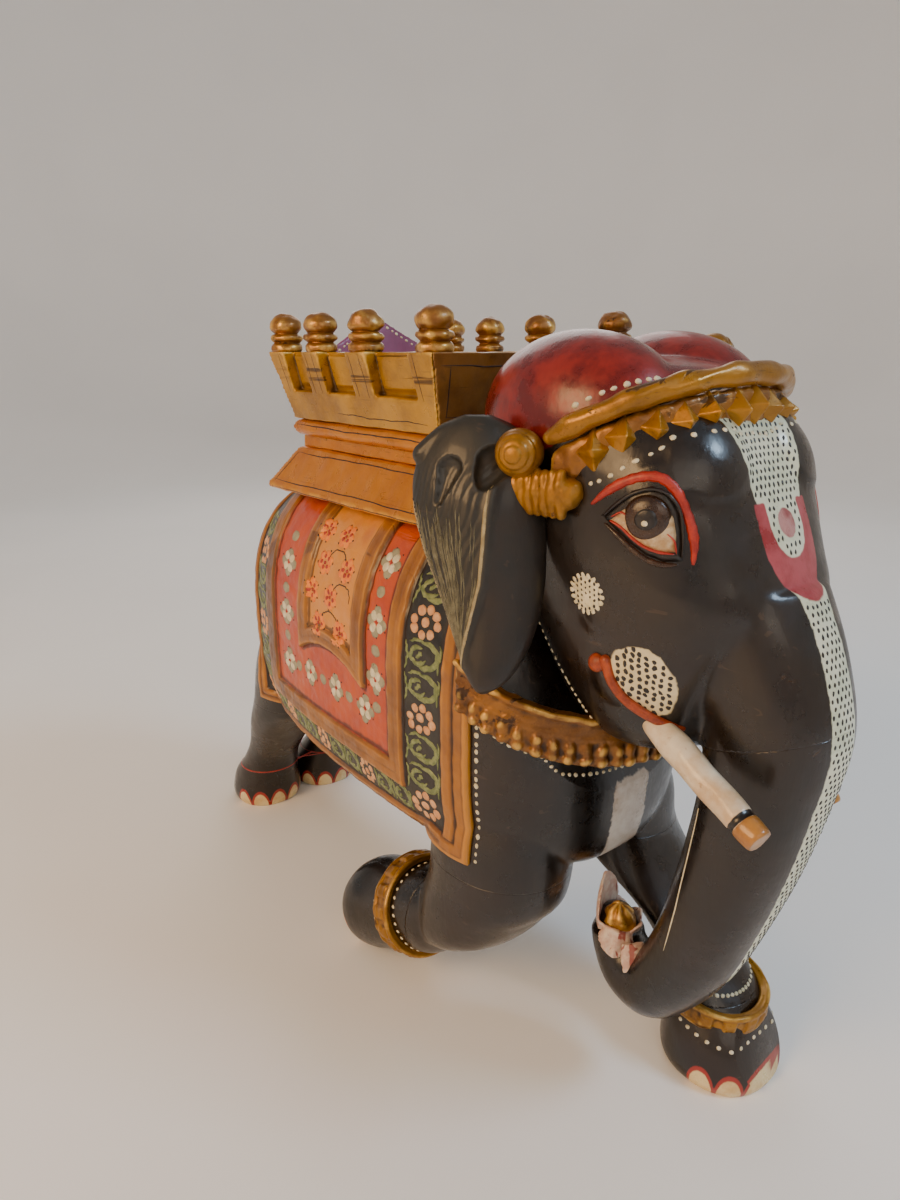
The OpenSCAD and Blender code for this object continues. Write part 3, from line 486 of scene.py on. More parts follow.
HIDE = "#0e0a07"; HIDE2 = "#21150b"
M_hide = lacquer("lacquer_black", HIDE, HIDE2, zones=[zone("z_chest", "#b9a793", "#d8d0c4", 0.8, 2.0), zone("z_nail_red", "#9b2417", None, 0.3, 0.3), zone("z_nail", "#e6d3a0", "#cfae74", 0.3, 0.3)])
M_head = lacquer("lacquer_head", HIDE, HIDE2, zones=[zone("z_red", "#5c0b06", "#86190c", 0.5, 1.0), zone("z_stripe", "#cdd3b6", "#e2e2c8", 0.5, 1.0),
    zone("z_tilak", "#8e1f28", "#b04a52", 0.4, 0.6), zone("z_eyehole", "#0d0a08", None, 0.6, 0.3), zone("z_pinkdisc", "#b9837f", "#8d3a3d", 0.4, 0.5),
    zone("z_mouth", "#e0d3ae", "#cfc096", 0.5, 1.2), zone("z_brow", "#a8210f", "#c33a1c", 0.4, 0.4)])
M_ear = lacquer("ear_grey", "#1c1a14", "#2c281f", rough=(0.36, 0.55), zones=[zone("z_earfront", "#15100c", "#21170f", 0.8, 0.8)])
M_gold = gilt("gilt_bronze", "#7c5208", "#a87410", "#2a1505", 0)
M_gold_dark = gilt("gilt_dark", "#6b4213", "#95621f", "#1d0e04", 0)
M_gold_y = gilt("gilt_grain_y", "#a57012", "#cf9418", "#2e1705", 1)
M_gold_z = gilt("gilt_grain_z", "#9a6a12", "#c88e1c", "#2b1505", 2)
M_orange_y = gilt("orange_gold_y", "#b86c00", "#d08400", "#4c2400", 1, 0.5, (0.25, 0.42), 0.28, "#f0b030", 0.66)
M_orange_x = gilt("orange_gold_x", "#b86c00", "#d08400", "#4c2400", 0, 0.5, (0.25, 0.42), 0.28, "#f0b030", 0.66)
M_wall_y = gilt("wall_gold_y", "#8e640c", "#bd8c18", "#2a1608", 1, 0.35)
M_wall_x = gilt("wall_gold_x", "#6b431b", "#8c5f28", "#1c0d05", 0, 0.3)
M_purple = lacquer("purple_paint", "#6a2448", "#8d3c6a", edge_wear_and_highlight="#b08a6a", rough=(0.4, 0.6))
M_ivory = daub("ivory_paint", "#e9dcc0", "#d2b68c", 0.35, "#b08a5a")
M_dot = daub("cream_dot", "#e8dfc2", "#cfc6a2", 0.4, "#9a8f6a")
M_peach = daub("peach_dot", "#e3b183", "#d2935f", 0.42, "#b06f3e")
M_dash = daub("black_dash", "#14110f", "#241c18", 0.35)
M_line = daub("dark_line", "#2a1306", "#140a04", 0.5)
M_green = daub("scroll_green", "#86905a", "#5f6d3c", 0.42, "#aeb176")
M_blue = daub("grey_blue", "#8d8c74", "#a29a7c", 0.45, "#6d705e")
M_red = daub("red_paint", "#b02a14", "#8e1c10", 0.4, "#d04a22")
M_orange_fl = daub("orange_flower", "#ef8d26", "#e87416", 0.42, "#f5ab4a")
M_lip = daub("lip_orange", "#a8430c", "#7c2c08", 0.38, "#c4641c")
M_brown_eye = daub("eye_brown", "#3b2616", "#2b1a0e", 0.25, "#4a3220")
M_pink = daub("lotus_pink", "#d9b9a8", "#c08a7c", 0.4, "#a3564e")
_k = M_pink.mix(M_pink.step(M_pink.noise(230, 4, 0.6), 0.35, 0.65), rgb("#d9c6b4"), rgb("#c8a392"))
_k = M_pink.mix(M_pink.step(M_pink.noise(210, 2, 0.5, M_pink.vec((1, 1, 0.16), (0.3, 0.4, 0)), 1.0), 0.56, 0.63, 0, 0.85), _k, rgb("#8c2a20"))
M_pink.color(_k)
M_hair = daub("ear_hair", "#726e55", "#55513c", 0.5, "#8a8568")
M_edge = daub("ear_edge_cream", "#a89a74", "#8a7c58", 0.5, "#5d5238")
M_white = daub("eye_white", "#c4b292", "#a98a62", 0.35, "#8c5a34")
M_bare = gilt("bare_wood", "#7b5631", "#94693d", "#3a210f", 1, 0.0, (0.55, 0.75), 0.5, "#a87c4c")

PIECES = []
def piece(ob, mat, *nodes, body="elephant", slot=None, cv=True):
    ob.data.materials.clear(); ob.data.materials.append(mat.m)
    shade(ob)
    if cv: attr(ob, "cv", curvature(ob))
    for z in mat.zones:
        if z not in ob.data.attributes: attr(ob, z, np.full(len(ob.data.vertices), -20.0))
    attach(ob, body)
    if nodes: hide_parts(*nodes)
    PIECES.append(ob)
    return ob

# ------------------------------------------------------------------ casting paint onto surfaces
class Surf:
    def __init__(s, *obs):
        V = []; F = []; k = 0
        for o in obs:
            v = co_of(o); V += [Vector(p) for p in v]; F += [[i + k for i in p.vertices] for p in o.data.polygons]; k += len(v)
        s.t = BVHTree.FromPolygons(V, F, all_triangles=False)
    def near(s, p):
        q, n, i, d = s.t.find_nearest(Vector(p)); return np.array(q), np.array(n)
    def hit(s, p, d, far=400):
        """First hit from p along d, or None."""
        q, n, i, t = s.t.ray_cast(Vector(p), Vector(d).normalized(), far)
        return (np.array(q), np.array(n)) if q is not None else None
    def drop(s, p, n, reach=9.0):
        """The surface point under p when looking along -n."""
        r = s.hit(np.array(p) + np.array(n) * reach, -np.array(n), reach * 2.4)
        return r[0] if r is not None else s.near(p)[0]

class Dabs:
    """Collects many small closed dabs and strokes of paint into one mesh."""
    def __init__(s): s.V = []; s.F = []; s.k = 0
    def add(s, V, F):
        s.V.append(np.array(V)); s.F += [[i + s.k for i in f] for f in F]; s.k += len(V)
    def dab(s, surf, p, n, rx, ry=None, along=(0, 0, 1), h=0.55, seg=10, wob=0.1, outline=None):
        ry = rx if ry is None else ry
        n = np.array(n, float); n /= np.linalg.norm(n)
        a = np.array(along, float); a = a - n * (a @ n)
        if np.linalg.norm(a) < 1e-3: a = np.array([0, 1.0, 0]) - n * n[1]
        a /= np.linalg.norm(a); b = np.cross(n, a)
        th = np.arange(seg) * 2 * math.pi / seg
        rr = 1 + wob * nrng.uniform(-1, 1, seg)
        ring = [(p + a * math.cos(t) * ry * k + b * math.sin(t) * rx * k) for t, k in zip(th, rr)]
        if outline is not None: ring = [p + a * v * ry + b * u * rx for u, v in outline]; seg = len(ring)
        base = np.array([surf.drop(q, n) for q in ring]); c = surf.drop(p, n)
        V = [c + n * h] + [c + (q - c) * 0.62 + n * h * 0.88 for q in base] + [q + n * 0.04 for q in base] + [q - n * 0.5 for q in base] + [c - n * 0.5]
        F = []
        for i in range(seg):
            j = (i + 1) % seg
            F += [[0, 1 + i, 1 + j], [1 + i, 1 + seg + i, 1 + seg + j, 1 + j], [1 + seg + i, 1 + 2 * seg + i, 1 + 2 * seg + j, 1 + seg + j], [1 + 3 * seg, 1 + 2 * seg + j, 1 + 2 * seg + i]]
        s.add(V, F)
    def stroke(s, surf, P, w, h=0.45, N=None, n=None, taper=0.25):
        """A ribbon of paint over points P; w is its width."""
        P = np.array(P, float); m = len(P)
        T = np.gradient(P, axis=0); T /= np.linalg.norm(T, axis=1)[:, None] + 1e-9
        V = []
        for i in range(m):
            if n is not None: q = surf.drop(P[i], n); nn = np.array(n, float)
            else: q, nn = surf.near(P[i])
            nn = nn / np.linalg.norm(nn)
            b = np.cross(nn, T[i]); b /= np.linalg.norm(b) + 1e-9
            e = min(i, m - 1 - i) / max(m - 1, 1)
            ww = w * (taper + (1 - taper) * min(1, e * 6)) * (1 + 0.08 * math.sin(i * 1.7))
            L = surf.drop(q - b * ww / 2, nn, 4); R = surf.drop(q + b * ww / 2, nn, 4)
            V += [L - nn * 0.5, L + nn * 0.05, q - b * ww * 0.25 + nn * h * 0.85, q + b * ww * 0.25 + nn * h * 0.85, R + nn * 0.05, R - nn * 0.5]
        F = [[0, 1, 2, 3, 4, 5], [(m - 1) * 6 + k for k in (5, 4, 3, 2, 1, 0)]]
        for i in range(m - 1):
            for k in range(6):
                a = i * 6 + k; b2 = i * 6 + (k + 1) % 6
                F.append([a, a + 6, b2 + 6, b2])
        s.add(V, F)
    def dots(s, surf, P, step, r, along=True, jit=0.15, n=None, h=0.5):
        """Dots along a line of points."""
        P = np.array(P, float); d = np.r_[0, np.cumsum(np.linalg.norm(np.diff(P, axis=0), axis=1))]
        x = np.arange(step * 0.3, d[-1], step)
        for t in x:
            t = min(max(t + nrng.uniform(-jit, jit) * step, 0), d[-1])
            p = np.array([np.interp(t, d, P[:, k]) for k in range(3)])
            q = np.array([np.interp(min(t + 1, d[-1]), d, P[:, k]) - np.interp(max(t - 1, 0), d, P[:, k]) for k in range(3)])
            if n is None: pp, nn = surf.near(p)
            else: pp, nn = p, np.array(n, float)
            rr = r * nrng.uniform(0.8, 1.2)
            s.dab(surf, pp, nn, rr * nrng.uniform(0.75, 1.0), rr * nrng.uniform(1.0, 1.25), q, h, 8)
    def build(s, name, mat, body="elephant", slot=None):
        if not s.V: return None
        ob = new_obj(name, np.concatenate(s.V), s.F)
        bm = bmesh.new(); bm.from_mesh(ob.data); bmesh.ops.recalc_face_normals(bm, faces=bm.faces[:]); bm.to_mesh(ob.data); bm.free()
        return piece(ob, mat, body=body, slot=slot, cv=False)
# ------------------------------------------------------------------ zones painted on the body
def dz(ob, name, d): attr(ob, name, d)

v = co_of(torso)
chest = 14 - np.abs(v[:, 0] - 0) ; chest = np.minimum(chest, -140 - v[:, 1]); chest = np.minimum(chest, 206 - v[:, 2])
dz(torso, "z_chest", chest)
v = co_of(head)
band_z = 350 - (v[:, 1] + 150) * 0.59
red = (v[:, 2] - band_z - 1.0)
dz(head, "z_red", red)
# cream stripe down the forehead, wide at the band and narrow at the trunk
def stripe_half(z): return np.interp(z, [60, 110, 160, 205, 250, 290, 310, 335, 360, 385, 395], [5, 7.5, 9, 10, 9.5, 9, 12, 16, 21, 25, 26])
def stripe_field(v): return np.where((v[:, 1] < -175), stripe_half(v[:, 2]) - np.abs(v[:, 0]), -20) 
st = np.minimum(stripe_field(v), -red - 4)
dz(head, "z_stripe", st)
# the drop-shaped mark on the forehead
zt, r0 = 325.0, 19.0
dx, dzv = v[:, 0], v[:, 2] - zt
drop = np.where(dzv > 0, np.minimum(r0 - np.abs(dx) * 1.0, 14 - dzv), r0 - np.sqrt(dx ** 2 + (dzv * 0.74) ** 2))
inner = 12.0 - np.sqrt(dx ** 2 + ((dzv - 5) * 0.85) ** 2)
inner = np.where(dzv > 5, 12.0 - np.abs(dx), inner)
front = v[:, 1] < -200
dz(head, "z_tilak", np.where(front, np.minimum(np.minimum(drop, -inner), 100), -20))
dz(head, "z_pinkdisc", np.where(front, 6.0 - np.sqrt(dx ** 2 + (dzv - 5) ** 2), -20))
v = co_of(trunk)
dz(trunk, "z_stripe", np.where((v[:, 2] > 96) & (v[:, 1] < -236 + (v[:, 2] < 130) * (130 - v[:, 2]) * 0.6), stripe_half(v[:, 2]) - np.abs(v[:, 0]), -20))

# eyes, mouth patches: centres found on the head block
S_head = Surf(head)
EYE = {}

# ------------------------------------------------------------------ ears
EAR = np.array([[250, 97, -160, 100, -156, 0], [258, 88, -166, 103, -152, 2], [272, 78, -168, 103, -144, 5], [292, 70, -167, 102, -131, 8],
    [314, 66, -164, 103, -119, 10], [336, 65, -160, 103, -112, 11], [354, 65, -154, 99, -112, 9], [366, 68, -146, 92, -116, 6], [372, 76, -136, 84, -126, 1]], float)
def ear(name):
    L = spline(EAR, 150); R = []
    n = 46; t = np.linspace(0, 1, n)
    for r in L:
        d = r[3:5] - r[1:3]; w = np.linalg.norm(d); u = d / w; vv = np.array([u[1], -u[0]])
        h = min(4.5, w / 3)
        b = r[5] * np.sin(math.pi * t)
        k = h * np.sqrt(np.clip(1 - (2 * t - 1) ** 4, 0.02, 1))
        # long shallow gouges from the carving, a raised ridge near the root
        P1 = r[1:3] + u * (w * t)[:, None] + vv * (b + k)[:, None]
        P2 = r[1:3] + u * (w * t)[:, None] + vv * (b - k)[:, None]
        R.append(np.concatenate([np.c_[P1, np.full(n, r[0])], np.c_[P2[::-1], np.full(n, r[0])]]))
    base = skin(name, np.array(R))
    rod = tube("rod", spline([[72, -146, 362], [79, -136, 366], [89, -123, 364], [98, -114, 354]], 30), 5.2, 20)
    o = join(name, [base, rod]); o = remesh(o, 1.0, 3)
    v = co_of(o); n_ = nor_of(o)
    # the outer face looks forward and out
    out = n_ @ np.array([0.75, -0.66, 0])
    face = np.clip(out * 2 - 0.3, 0, 1)
    s = (v[:, 1] + 165) / 55 + 0.0                      # 0 at the root, 1 at the rear edge
    hollow = 0
    for (ax, bx, rr, dp) in (((84, -148, 353), (87, -144, 337), 7.0, 7.5), ((95.5, -133, 349), (98, -131, 335), 6.2, 7.0)):
        a, b = np.array(ax, float), np.array(bx, float)
        q = np.clip(((v - a) @ (b - a)) / ((b - a) @ (b - a)), 0, 1)[:, None]
        dist = np.linalg.norm((v - (a + q * (b - a))) * [0.75, 1, 1], axis=1)
        rr_ = rr * (1.05 - 0.35 * q[:, 0])
        hollow = np.maximum(hollow, dp * np.clip(1 - (dist / rr_) ** 3, 0, 1) ** 0.6)
    v = v - np.array([0.6, -0.6, 0]) * 0 - n_ * (hollow * face)[:, None] * 0.62
    # hair-like gouges that run down and slightly back
    ang = (v[:, 1] * 0.9 + v[:, 2] * 0.22)
    g = np.sin(ang * 2.1 + fnoise(v, 26, 3) * 2.4) * 0.5 + np.sin(ang * 3.7 + fnoise(v, 18, 5) * 3) * 0.3
    root = np.interp(v[:, 2], [250, 258, 300, 336, 372], [-150, -151, -154, -152, -148])
    back = np.clip((v[:, 1] - root) / 4, 0, 1) * face * np.clip((356 - v[:, 2]) / 12, 0, 1)
    v = v + n_ * (g * 0.32 * back)[:, None]
    # the front part swells as one smooth roll, with a fine ridge where it meets the rest
    ridge = np.exp(-((v[:, 1] - root) / 1.6) ** 2) * face * np.clip((352 - v[:, 2]) / 10, 0, 1)
    v = v + n_ * (ridge * 1.5)[:, None]
    set_co(o, v)
    v = co_of(o)
    dz(o, "z_earfront", np.where(face > 0.05, root - 2 - v[:, 1], 4))
    o["root"] = 0
    return o, root, face, ridge
ear_l, e_root, e_face, e_ridge = ear("left_ear_carved")
ear_r = mirror_obj(ear_l, "right_ear_carved")

# ------------------------------------------------------------------ brow band, studs, knobs
def band_at(t, dz_=0.0):
    a = math.pi * t; s = max(math.sin(a), 0)
    return np.array([-69 * math.cos(a), -150 - 66 * s ** 0.8, 350 + 39 * s ** 0.7 + dz_])
ts = np.linspace(0.06, 0.94, 110)
TOP = np.array([band_at(t) for t in ts]); LOW = np.array([band_at(t, -13) + [0, -1.0, 0] for t in ts])
nrm = []
for t in ts:
    a = math.pi * t; w_ = np.array([-math.cos(a) * 0.8, -max(math.sin(a), 0.02), 0.12]); nrm.append(w_ / np.linalg.norm(w_))
nrm = np.array(nrm)
rope = []
r_ = 5.0 * (1 + 0.07 * np.sin(ts * 60) + 0.05 * np.sin(ts * 23 + 1)); r_[:6] *= np.linspace(0.55, 1, 6); r_[-6:] *= np.linspace(1, 0.55, 6)
rope.append(tube("rope", TOP + nrm * 2.2 + [0, 0, 1.5], r_, 24))
band = remesh(join("headband_rope", rope), 0.8, 2)
v = co_of(band); n_ = nor_of(band)
v = v + n_ * (fnoise(v, 9, 2) * 0.28 + fnoise(v, 22, 4) * 0.4)[:, None]
set_co(band, v)
# the strip under the rope that carries the studs, scalloped at the bottom
def strip(name, P, N, up, hh, tk, wave=0.0):
    R = []
    for i, (p, n) in enumerate(zip(P, N)):
        a = np.linspace(0, 2 * math.pi, 24, endpoint=False)
        wv = 1 + wave * abs(math.sin(i * 0.62))
        R.append(np.array([p + up * sp(np.sin(x), 0.7) * hh * (wv if np.sin(x) < 0 else 1) + n * sp(np.cos(x), 0.7) * tk for x in a]))
    return skin(name, np.array(R))
ledge = remesh(strip("headband_ledge", LOW - nrm * 2.0 + [0, 0, 1], nrm, np.array([0, 0, 1.0]), 8.5, 5.0, 0.16), 0.9, 2)
v = co_of(ledge); n_ = nor_of(ledge); set_co(ledge, v + n_ * (fnoise(v, 8, 8) * 0.3)[:, None])
S_band = Surf(ledge, head)
def pyramid(c, n, w, h, hz, spin):
    """A four-sided stud with a soft point, slightly uneven, set on the band."""
    n = n / np.linalg.norm(n); t = np.cross([0, 0, 1.0], n); t /= np.linalg.norm(t); b = np.cross(n, t)
    P = []
    for k in range(4):
        a = spin + k * math.pi / 2
        P.append(c + (t * math.cos(a) * w + b * math.sin(a) * hz) * rng.uniform(0.9, 1.08))
    tip = c + n * h + t * rng.uniform(-1, 1) + b * rng.uniform(-1, 1)
    V = P + [p - n * 4 for p in P] + [tip]
    return new_obj("st", np.array(V), [[0, 1, 8], [1, 2, 8], [2, 3, 8], [3, 0, 8], [1, 0, 4, 5], [2, 1, 5, 6], [3, 2, 6, 7], [0, 3, 7, 4], [7, 6, 5, 4]])
st_ = []
d = np.r_[0, np.cumsum(np.linalg.norm(np.diff(LOW, axis=0), axis=1))]
for x in np.arange(22, d[-1] - 20, 12.6):
    i = int(np.interp(x, d, np.arange(len(d))))
    st_.append(pyramid(LOW[i] + nrm[i] * 1.5 + [0, 0, rng.uniform(-0.6, 0.6)], nrm[i], 8.2, rng.uniform(8.0, 9.2), 10.0, rng.uniform(-0.12, 0.12)))
studs = remesh(join("headband_studs", st_), 0.55, 1)
v = co_of(studs); n_ = nor_of(studs); set_co(studs, v + n_ * (fnoise(v, 6, 3) * 0.18)[:, None])
headband = [band, ledge, studs]

def knob(s, c, name):
    """A round knob of turned rings at the end of the band, over a ridged block."""
    out = np.array([s * 0.86, -0.5, 0.02]); out /= np.linalg.norm(out)
    t = np.cross([0, 0, 1.0], out); t /= np.linalg.norm(t); b = np.cross(out, t)
    prof = [(-7.5, 7.5), (-4, 10.2), (1, 10.8), (4.2, 9.8), (5.2, 8.9), (6.2, 9.0), (7.6, 7.6), (8.0, 6.6), (8.8, 6.5), (9.8, 5.0), (9.9, 3.9), (10.9, 3.5), (11.4, 1.6), (11.5, 0.4)]
    P = spline(np.array(prof, float), 70); R = []
    a = np.linspace(0, 2 * math.pi, 48, endpoint=False)
    for x, r in P: R.append(c + out * x + r * (np.cos(a)[:, None] * t + np.sin(a)[:, None] * b))
    return skin(name, np.array(R))
knob_r = remesh(knob(-1, np.array([-77.0, -156, 357]), "right_ear_knob_turned"), 0.6, 1)
kl = [knob(1, np.array([74.0, -146, 398]), "k"), tube("stem", spline([[73, -146, 396], [75, -150, 380], [77, -156, 362]], 20), np.linspace(7.5, 8.5, 20), 24)]
knob_l = remesh(join("left_ear_knob_turned", kl), 0.6, 1)
def block(s, name):
    parts = []
    for i in range(7):
        x = s * (76.5 - 0.8 * i); y = -153 - 3.9 * i
        parts.append(tube("r", spline([[x, y, 349], [x * 1.012, y - 0.6, 341], [x * 0.985, y, 332]], 12), [2.4, 2.7, 2.9, 3, 3, 3, 3, 3, 3, 2.9, 2.7, 2.3], 14))
    parts.append(tube("b", spline([[s * 73.5, -151, 341], [s * 70, -164, 341], [s * 68, -177, 341]], 14), 7.6, 20))
    o = remesh(join(name, parts), 0.6, 1)
    v = co_of(o); n_ = nor_of(o); set_co(o, v + n_ * (fnoise(v, 7, 6) * 0.25)[:, None]); return o
block_r = block(-1, "right_ear_block"); block_l = block(1, "left_ear_block")

# ------------------------------------------------------------------ collar of bells
def collar_at(t): a = math.pi * t; return np.array([-83 * math.cos(a), -124 - 62 * math.sin(a), 240 - 28 * math.sin(a)])
tc_ = np.linspace(0, 1, 150); CP = np.array([collar_at(t) for t in tc_])
CN = np.array([[-math.cos(math.pi * t), -math.sin(math.pi * t) * 1.1, -0.18] for t in tc_]); CN /= np.linalg.norm(CN, axis=1)[:, None]
cl = [strip("c", CP, CN, np.array([0, 0, 1.0]), 13.5, 4.2)]
cl.append(tube("t", CP + CN * 3.2 + [0, 0, 12.0], 2.0, 12)); cl.append(tube("t", CP + CN * 3.4 + [0, 0, 2.5], 1.3, 10))
dc = np.r_[0, np.cumsum(np.linalg.norm(np.diff(CP, axis=0), axis=1))]
for x in np.arange(5, dc[-1] - 4, 8.2):
    i = int(np.interp(x, dc, np.arange(len(dc)))); p = CP[i] + CN[i] * 3.4
    # each bell: a rounded body, wider at the mouth
    k = spline(np.array([(4.6, -1.0), (3.9, 1.6), (3.5, 4.5), (2.6, 7.0)]), 4)
    cl.append(ball("bl", p + np.array([0, 0, -3.2]), (3.3, 3.3, 4.3), 20)); cl.append(ball("bl", p + np.array([0, 0, -8.6]), (3.7, 3.6, 3.4), 20))
collar = remesh(join("bell_collar_carved", cl), 0.95, 1)
v = co_of(collar); n_ = nor_of(collar); set_co(collar, v + n_ * (fnoise(v, 8, 2) * 0.22)[:, None])

# ------------------------------------------------------------------ tusks, bud of the trunk, tail
def tusk(a, b, L, name):
    a = np.array(a, float); b = np.array(b, float); u = (b - a) / np.linalg.norm(b - a)
    P = [a + u * x for x in np.linspace(0, L, 60)]
    x = np.linspace(0, L, 60)
    r = np.interp(x, [0, 6, 20, 58, 61.5, 62.5, 64.5, 65.5, 72.5, L], [4.2, 6.0, 7.2, 6.4, 6.3, 5.7, 5.7, 6.3, 6.0, 5.3])
    o = tube(name, P, r, 32, caps=False); 
    v = co_of(o); n_ = nor_of(o)
    s = (v - a) @ u
    o2 = remesh(o, 0.6, 1); v = co_of(o2); n_ = nor_of(o2); s = (v - a) @ u
    set_co(o2, v + n_ * (fnoise(v, 14, 3) * 0.25)[:, None])
    dz(o2, "z_ring", 1.6 - np.abs(s - 63.4)); dz(o2, "z_cut", s - 65.0)
    dz(o2, "z_root", 3.0 - s + 0 * s)
    return o2
tusk_r = tusk((-40, -206, 240), (-50, -272, 212), 74, "right_tusk_carved")
tusk_l = tusk((40, -206, 240), (38, -256, 192), 74, "left_tusk_carved")

tailp = spline([[0, 190, 246], [0, 203, 236], [0, 211, 218], [0, 215, 196], [0, 216, 172], [0, 214, 150], [0, 211, 132], [0, 209, 118], [0, 209, 107]], 90)
tt = [tube("tail", tailp, np.interp(np.arange(90), [0, 50, 66, 74, 84, 89], [6.0, 4.8, 4.6, 5.6, 5.8, 3.0]), 24)]
tail = remesh(join("tail_carved", tt), 0.8, 1)
v = co_of(tail); n_ = nor_of(tail); th = np.arctan2(v[:, 0], v[:, 1] - 210)
tuft = np.clip((134 - v[:, 2]) / 6, 0, 1); set_co(tail, v + n_ * (np.sin(th * 9 + v[:, 2] * 0.12) * 0.55 * tuft)[:, None])

# lotus tip at the end of the trunk: petals, a pointed finger and a bud
def petal(c, up, out, w, h, curl, tk, name):
    up = np.array(up, float) / np.linalg.norm(up); out = np.array(out, float) / np.linalg.norm(out); side = np.cross(up, out)
    n, m = 17, 21; top = []; bot = []
    for j in range(m):
        s = j / (m - 1); ww = w * (math.sin(math.pi * min(1, 0.16 + 0.84 * (1 - s) ** 0.8)) ** 0.75 if s > 0.3 else 0.72 + 0.28 * math.sin(s / 0.3 * math.pi / 2))
        ww = w * max(0.03, (1 - ((s - 0.38) / 0.62) ** 2) ** 0.6 if s > 0.38 else 0.75 + 0.25 * math.sin(s / 0.38 * math.pi / 2))
        for i in range(n):
            q = i / (n - 1) * 2 - 1
            p = np.array(c) + up * h * s + side * ww * q + out * (curl * s * s - 0.30 * ww * q * q + 0.35 * math.cos(q * 9) * (0.4 + s))
            e = tk * (1 - 0.75 * q * q) * (1 - 0.6 * s)
            top.append(p + out * e); bot.append(p - out * e)
    V = top + bot; K = n * m; F = []
    for j in range(m - 1):
        for i in range(n - 1):
            a = j * n + i; F.append([a, a + 1, a + n + 1, a + n]); F.append([K + a, K + a + n, K + a + n + 1, K + a + 1])
    for i in range(n - 1):
        F.append([i, K + i, K + i + 1, i + 1]); a = (m - 1) * n + i; F.append([a, a + 1, K + a + 1, K + a])
    for j in range(m - 1):
        a = j * n; F.append([a, a + n, K + a + n, K + a]); a = j * n + n - 1; F.append([a, K + a, K + a + n, a + n])
    return new_obj(name, np.array(V), F)
B = np.array([-6.0, -172, 88.0])
pl = []
for k, (ang, w_, h_, cu) in enumerate([(105, 13, 35, -5), (40, 8, 12, 3), (-20, 8, 11, 3), (-80, 8, 11, 3), (-140, 8, 10, 4), (170, 7.5, 11, 3)]):
    a = math.radians(ang); o_ = np.array([math.cos(a), math.sin(a), 0.0])
    pl.append(petal(B + o_ * 9.5 + [0, 0, -4], [o_[0] * 0.15, o_[1] * 0.15, 1], o_, w_, h_, cu, 1.9, "p"))
pl.append(petal(np.array([-14.5, -189.5, 90.0]), [-0.17, -0.42, -0.90], [-0.62, -0.74, 0.32], 8.0, 27, 0.5, 1.7, "p"))
pl.append(petal(np.array([-15.0, -180.0, 93.0]), [-0.45, -0.10, -0.85], [-0.62, -0.66, 0.40], 10.0, 15, 1.5, 1.7, "p"))
pl.append(tube("pt", [B + [0, 0, -7], B + [0, 0, -3], B + [0, 0, 0]], [10.5, 11.2, 10], 28))
petals = remesh(join("trunk_lotus", pl), 0.65, 1)
bud = ball("trunk_bud_carved", B + [-2, -2, 4], (9.2, 9.2, 11.5), 48)
v = co_of(bud); n_ = nor_of(bud); th = np.arctan2(v[:, 1] - B[1] + 2, v[:, 0] - B[0] + 2)
set_co(bud, v + n_ * (np.sin(th * 7 + v[:, 2] * 0.25) * 0.35 + fnoise(v, 5, 2) * 0.3)[:, None])

# ------------------------------------------------------------------ anklets
def anklet(c, r, lean, name, squash=(1, 1), n=15, hh=7.0):
    R_ = Matrix.Rotation(math.radians(lean), 3, "X"); M = np.array(R_)
    th = np.linspace(0, 2 * math.pi, 120, endpoint=True)
    P = np.array([[r * squash[0] * math.cos(a), r * squash[1] * math.sin(a), 0] for a in th])
    parts = []
    ring = []
    for a in th[:-1]:
        o_ = np.array([math.cos(a), math.sin(a), 0]); p = np.array([r * squash[0] * math.cos(a), r * squash[1] * math.sin(a), 0])
        x = np.linspace(0, 2 * math.pi, 16, endpoint=False)
        ring.append(np.array([p + o_ * sp(np.cos(t), 0.6) * 2.6 + np.array([0, 0, 1.0]) * sp(np.sin(t), 0.5) * hh for t in x]))
    ring = np.array(ring + [ring[0]])
    m_, k_ = ring.shape[:2]; V = ring[:-1].reshape(-1, 3); F = []
    for i in range(m_ - 1):
        for j in range(k_):
            a = i * k_ + j; b = i * k_ + (j + 1) % k_; c2 = ((i + 1) % (m_ - 1)) * k_ + j; d2 = ((i + 1) % (m_ - 1)) * k_ + (j + 1) % k_
            F.append([a, b, d2, c2])
    parts.append(new_obj("rg", V, F))
    for dzv in (-hh + 0.6, hh - 0.6):
        parts.append(ring_tube(np.array([[(r + 2.2) * squash[0] * math.cos(a), (r + 2.2) * squash[1] * math.sin(a), dzv] for a in th[:-1]]), 1.6))
    for k in range(n):
        a = 2 * math.pi * k / n; o_ = np.array([math.cos(a), math.sin(a), 0]); p = np.array([(r + 1.2) * squash[0] * math.cos(a), (r + 1.2) * squash[1] * math.sin(a), 0])
        parts.append(pyramid_block(p, o_, 2 * math.pi * r / n * 0.33, hh * 0.62, 3.2))
    o = join(name, parts); v = co_of(o); set_co(o, v @ M.T + np.array(c)); 
    o = remesh(o, 0.8, 1)
    v = co_of(o); n_ = nor_of(o); set_co(o, v + n_ * (fnoise(v, 7, 3) * 0.22)[:, None]); return o
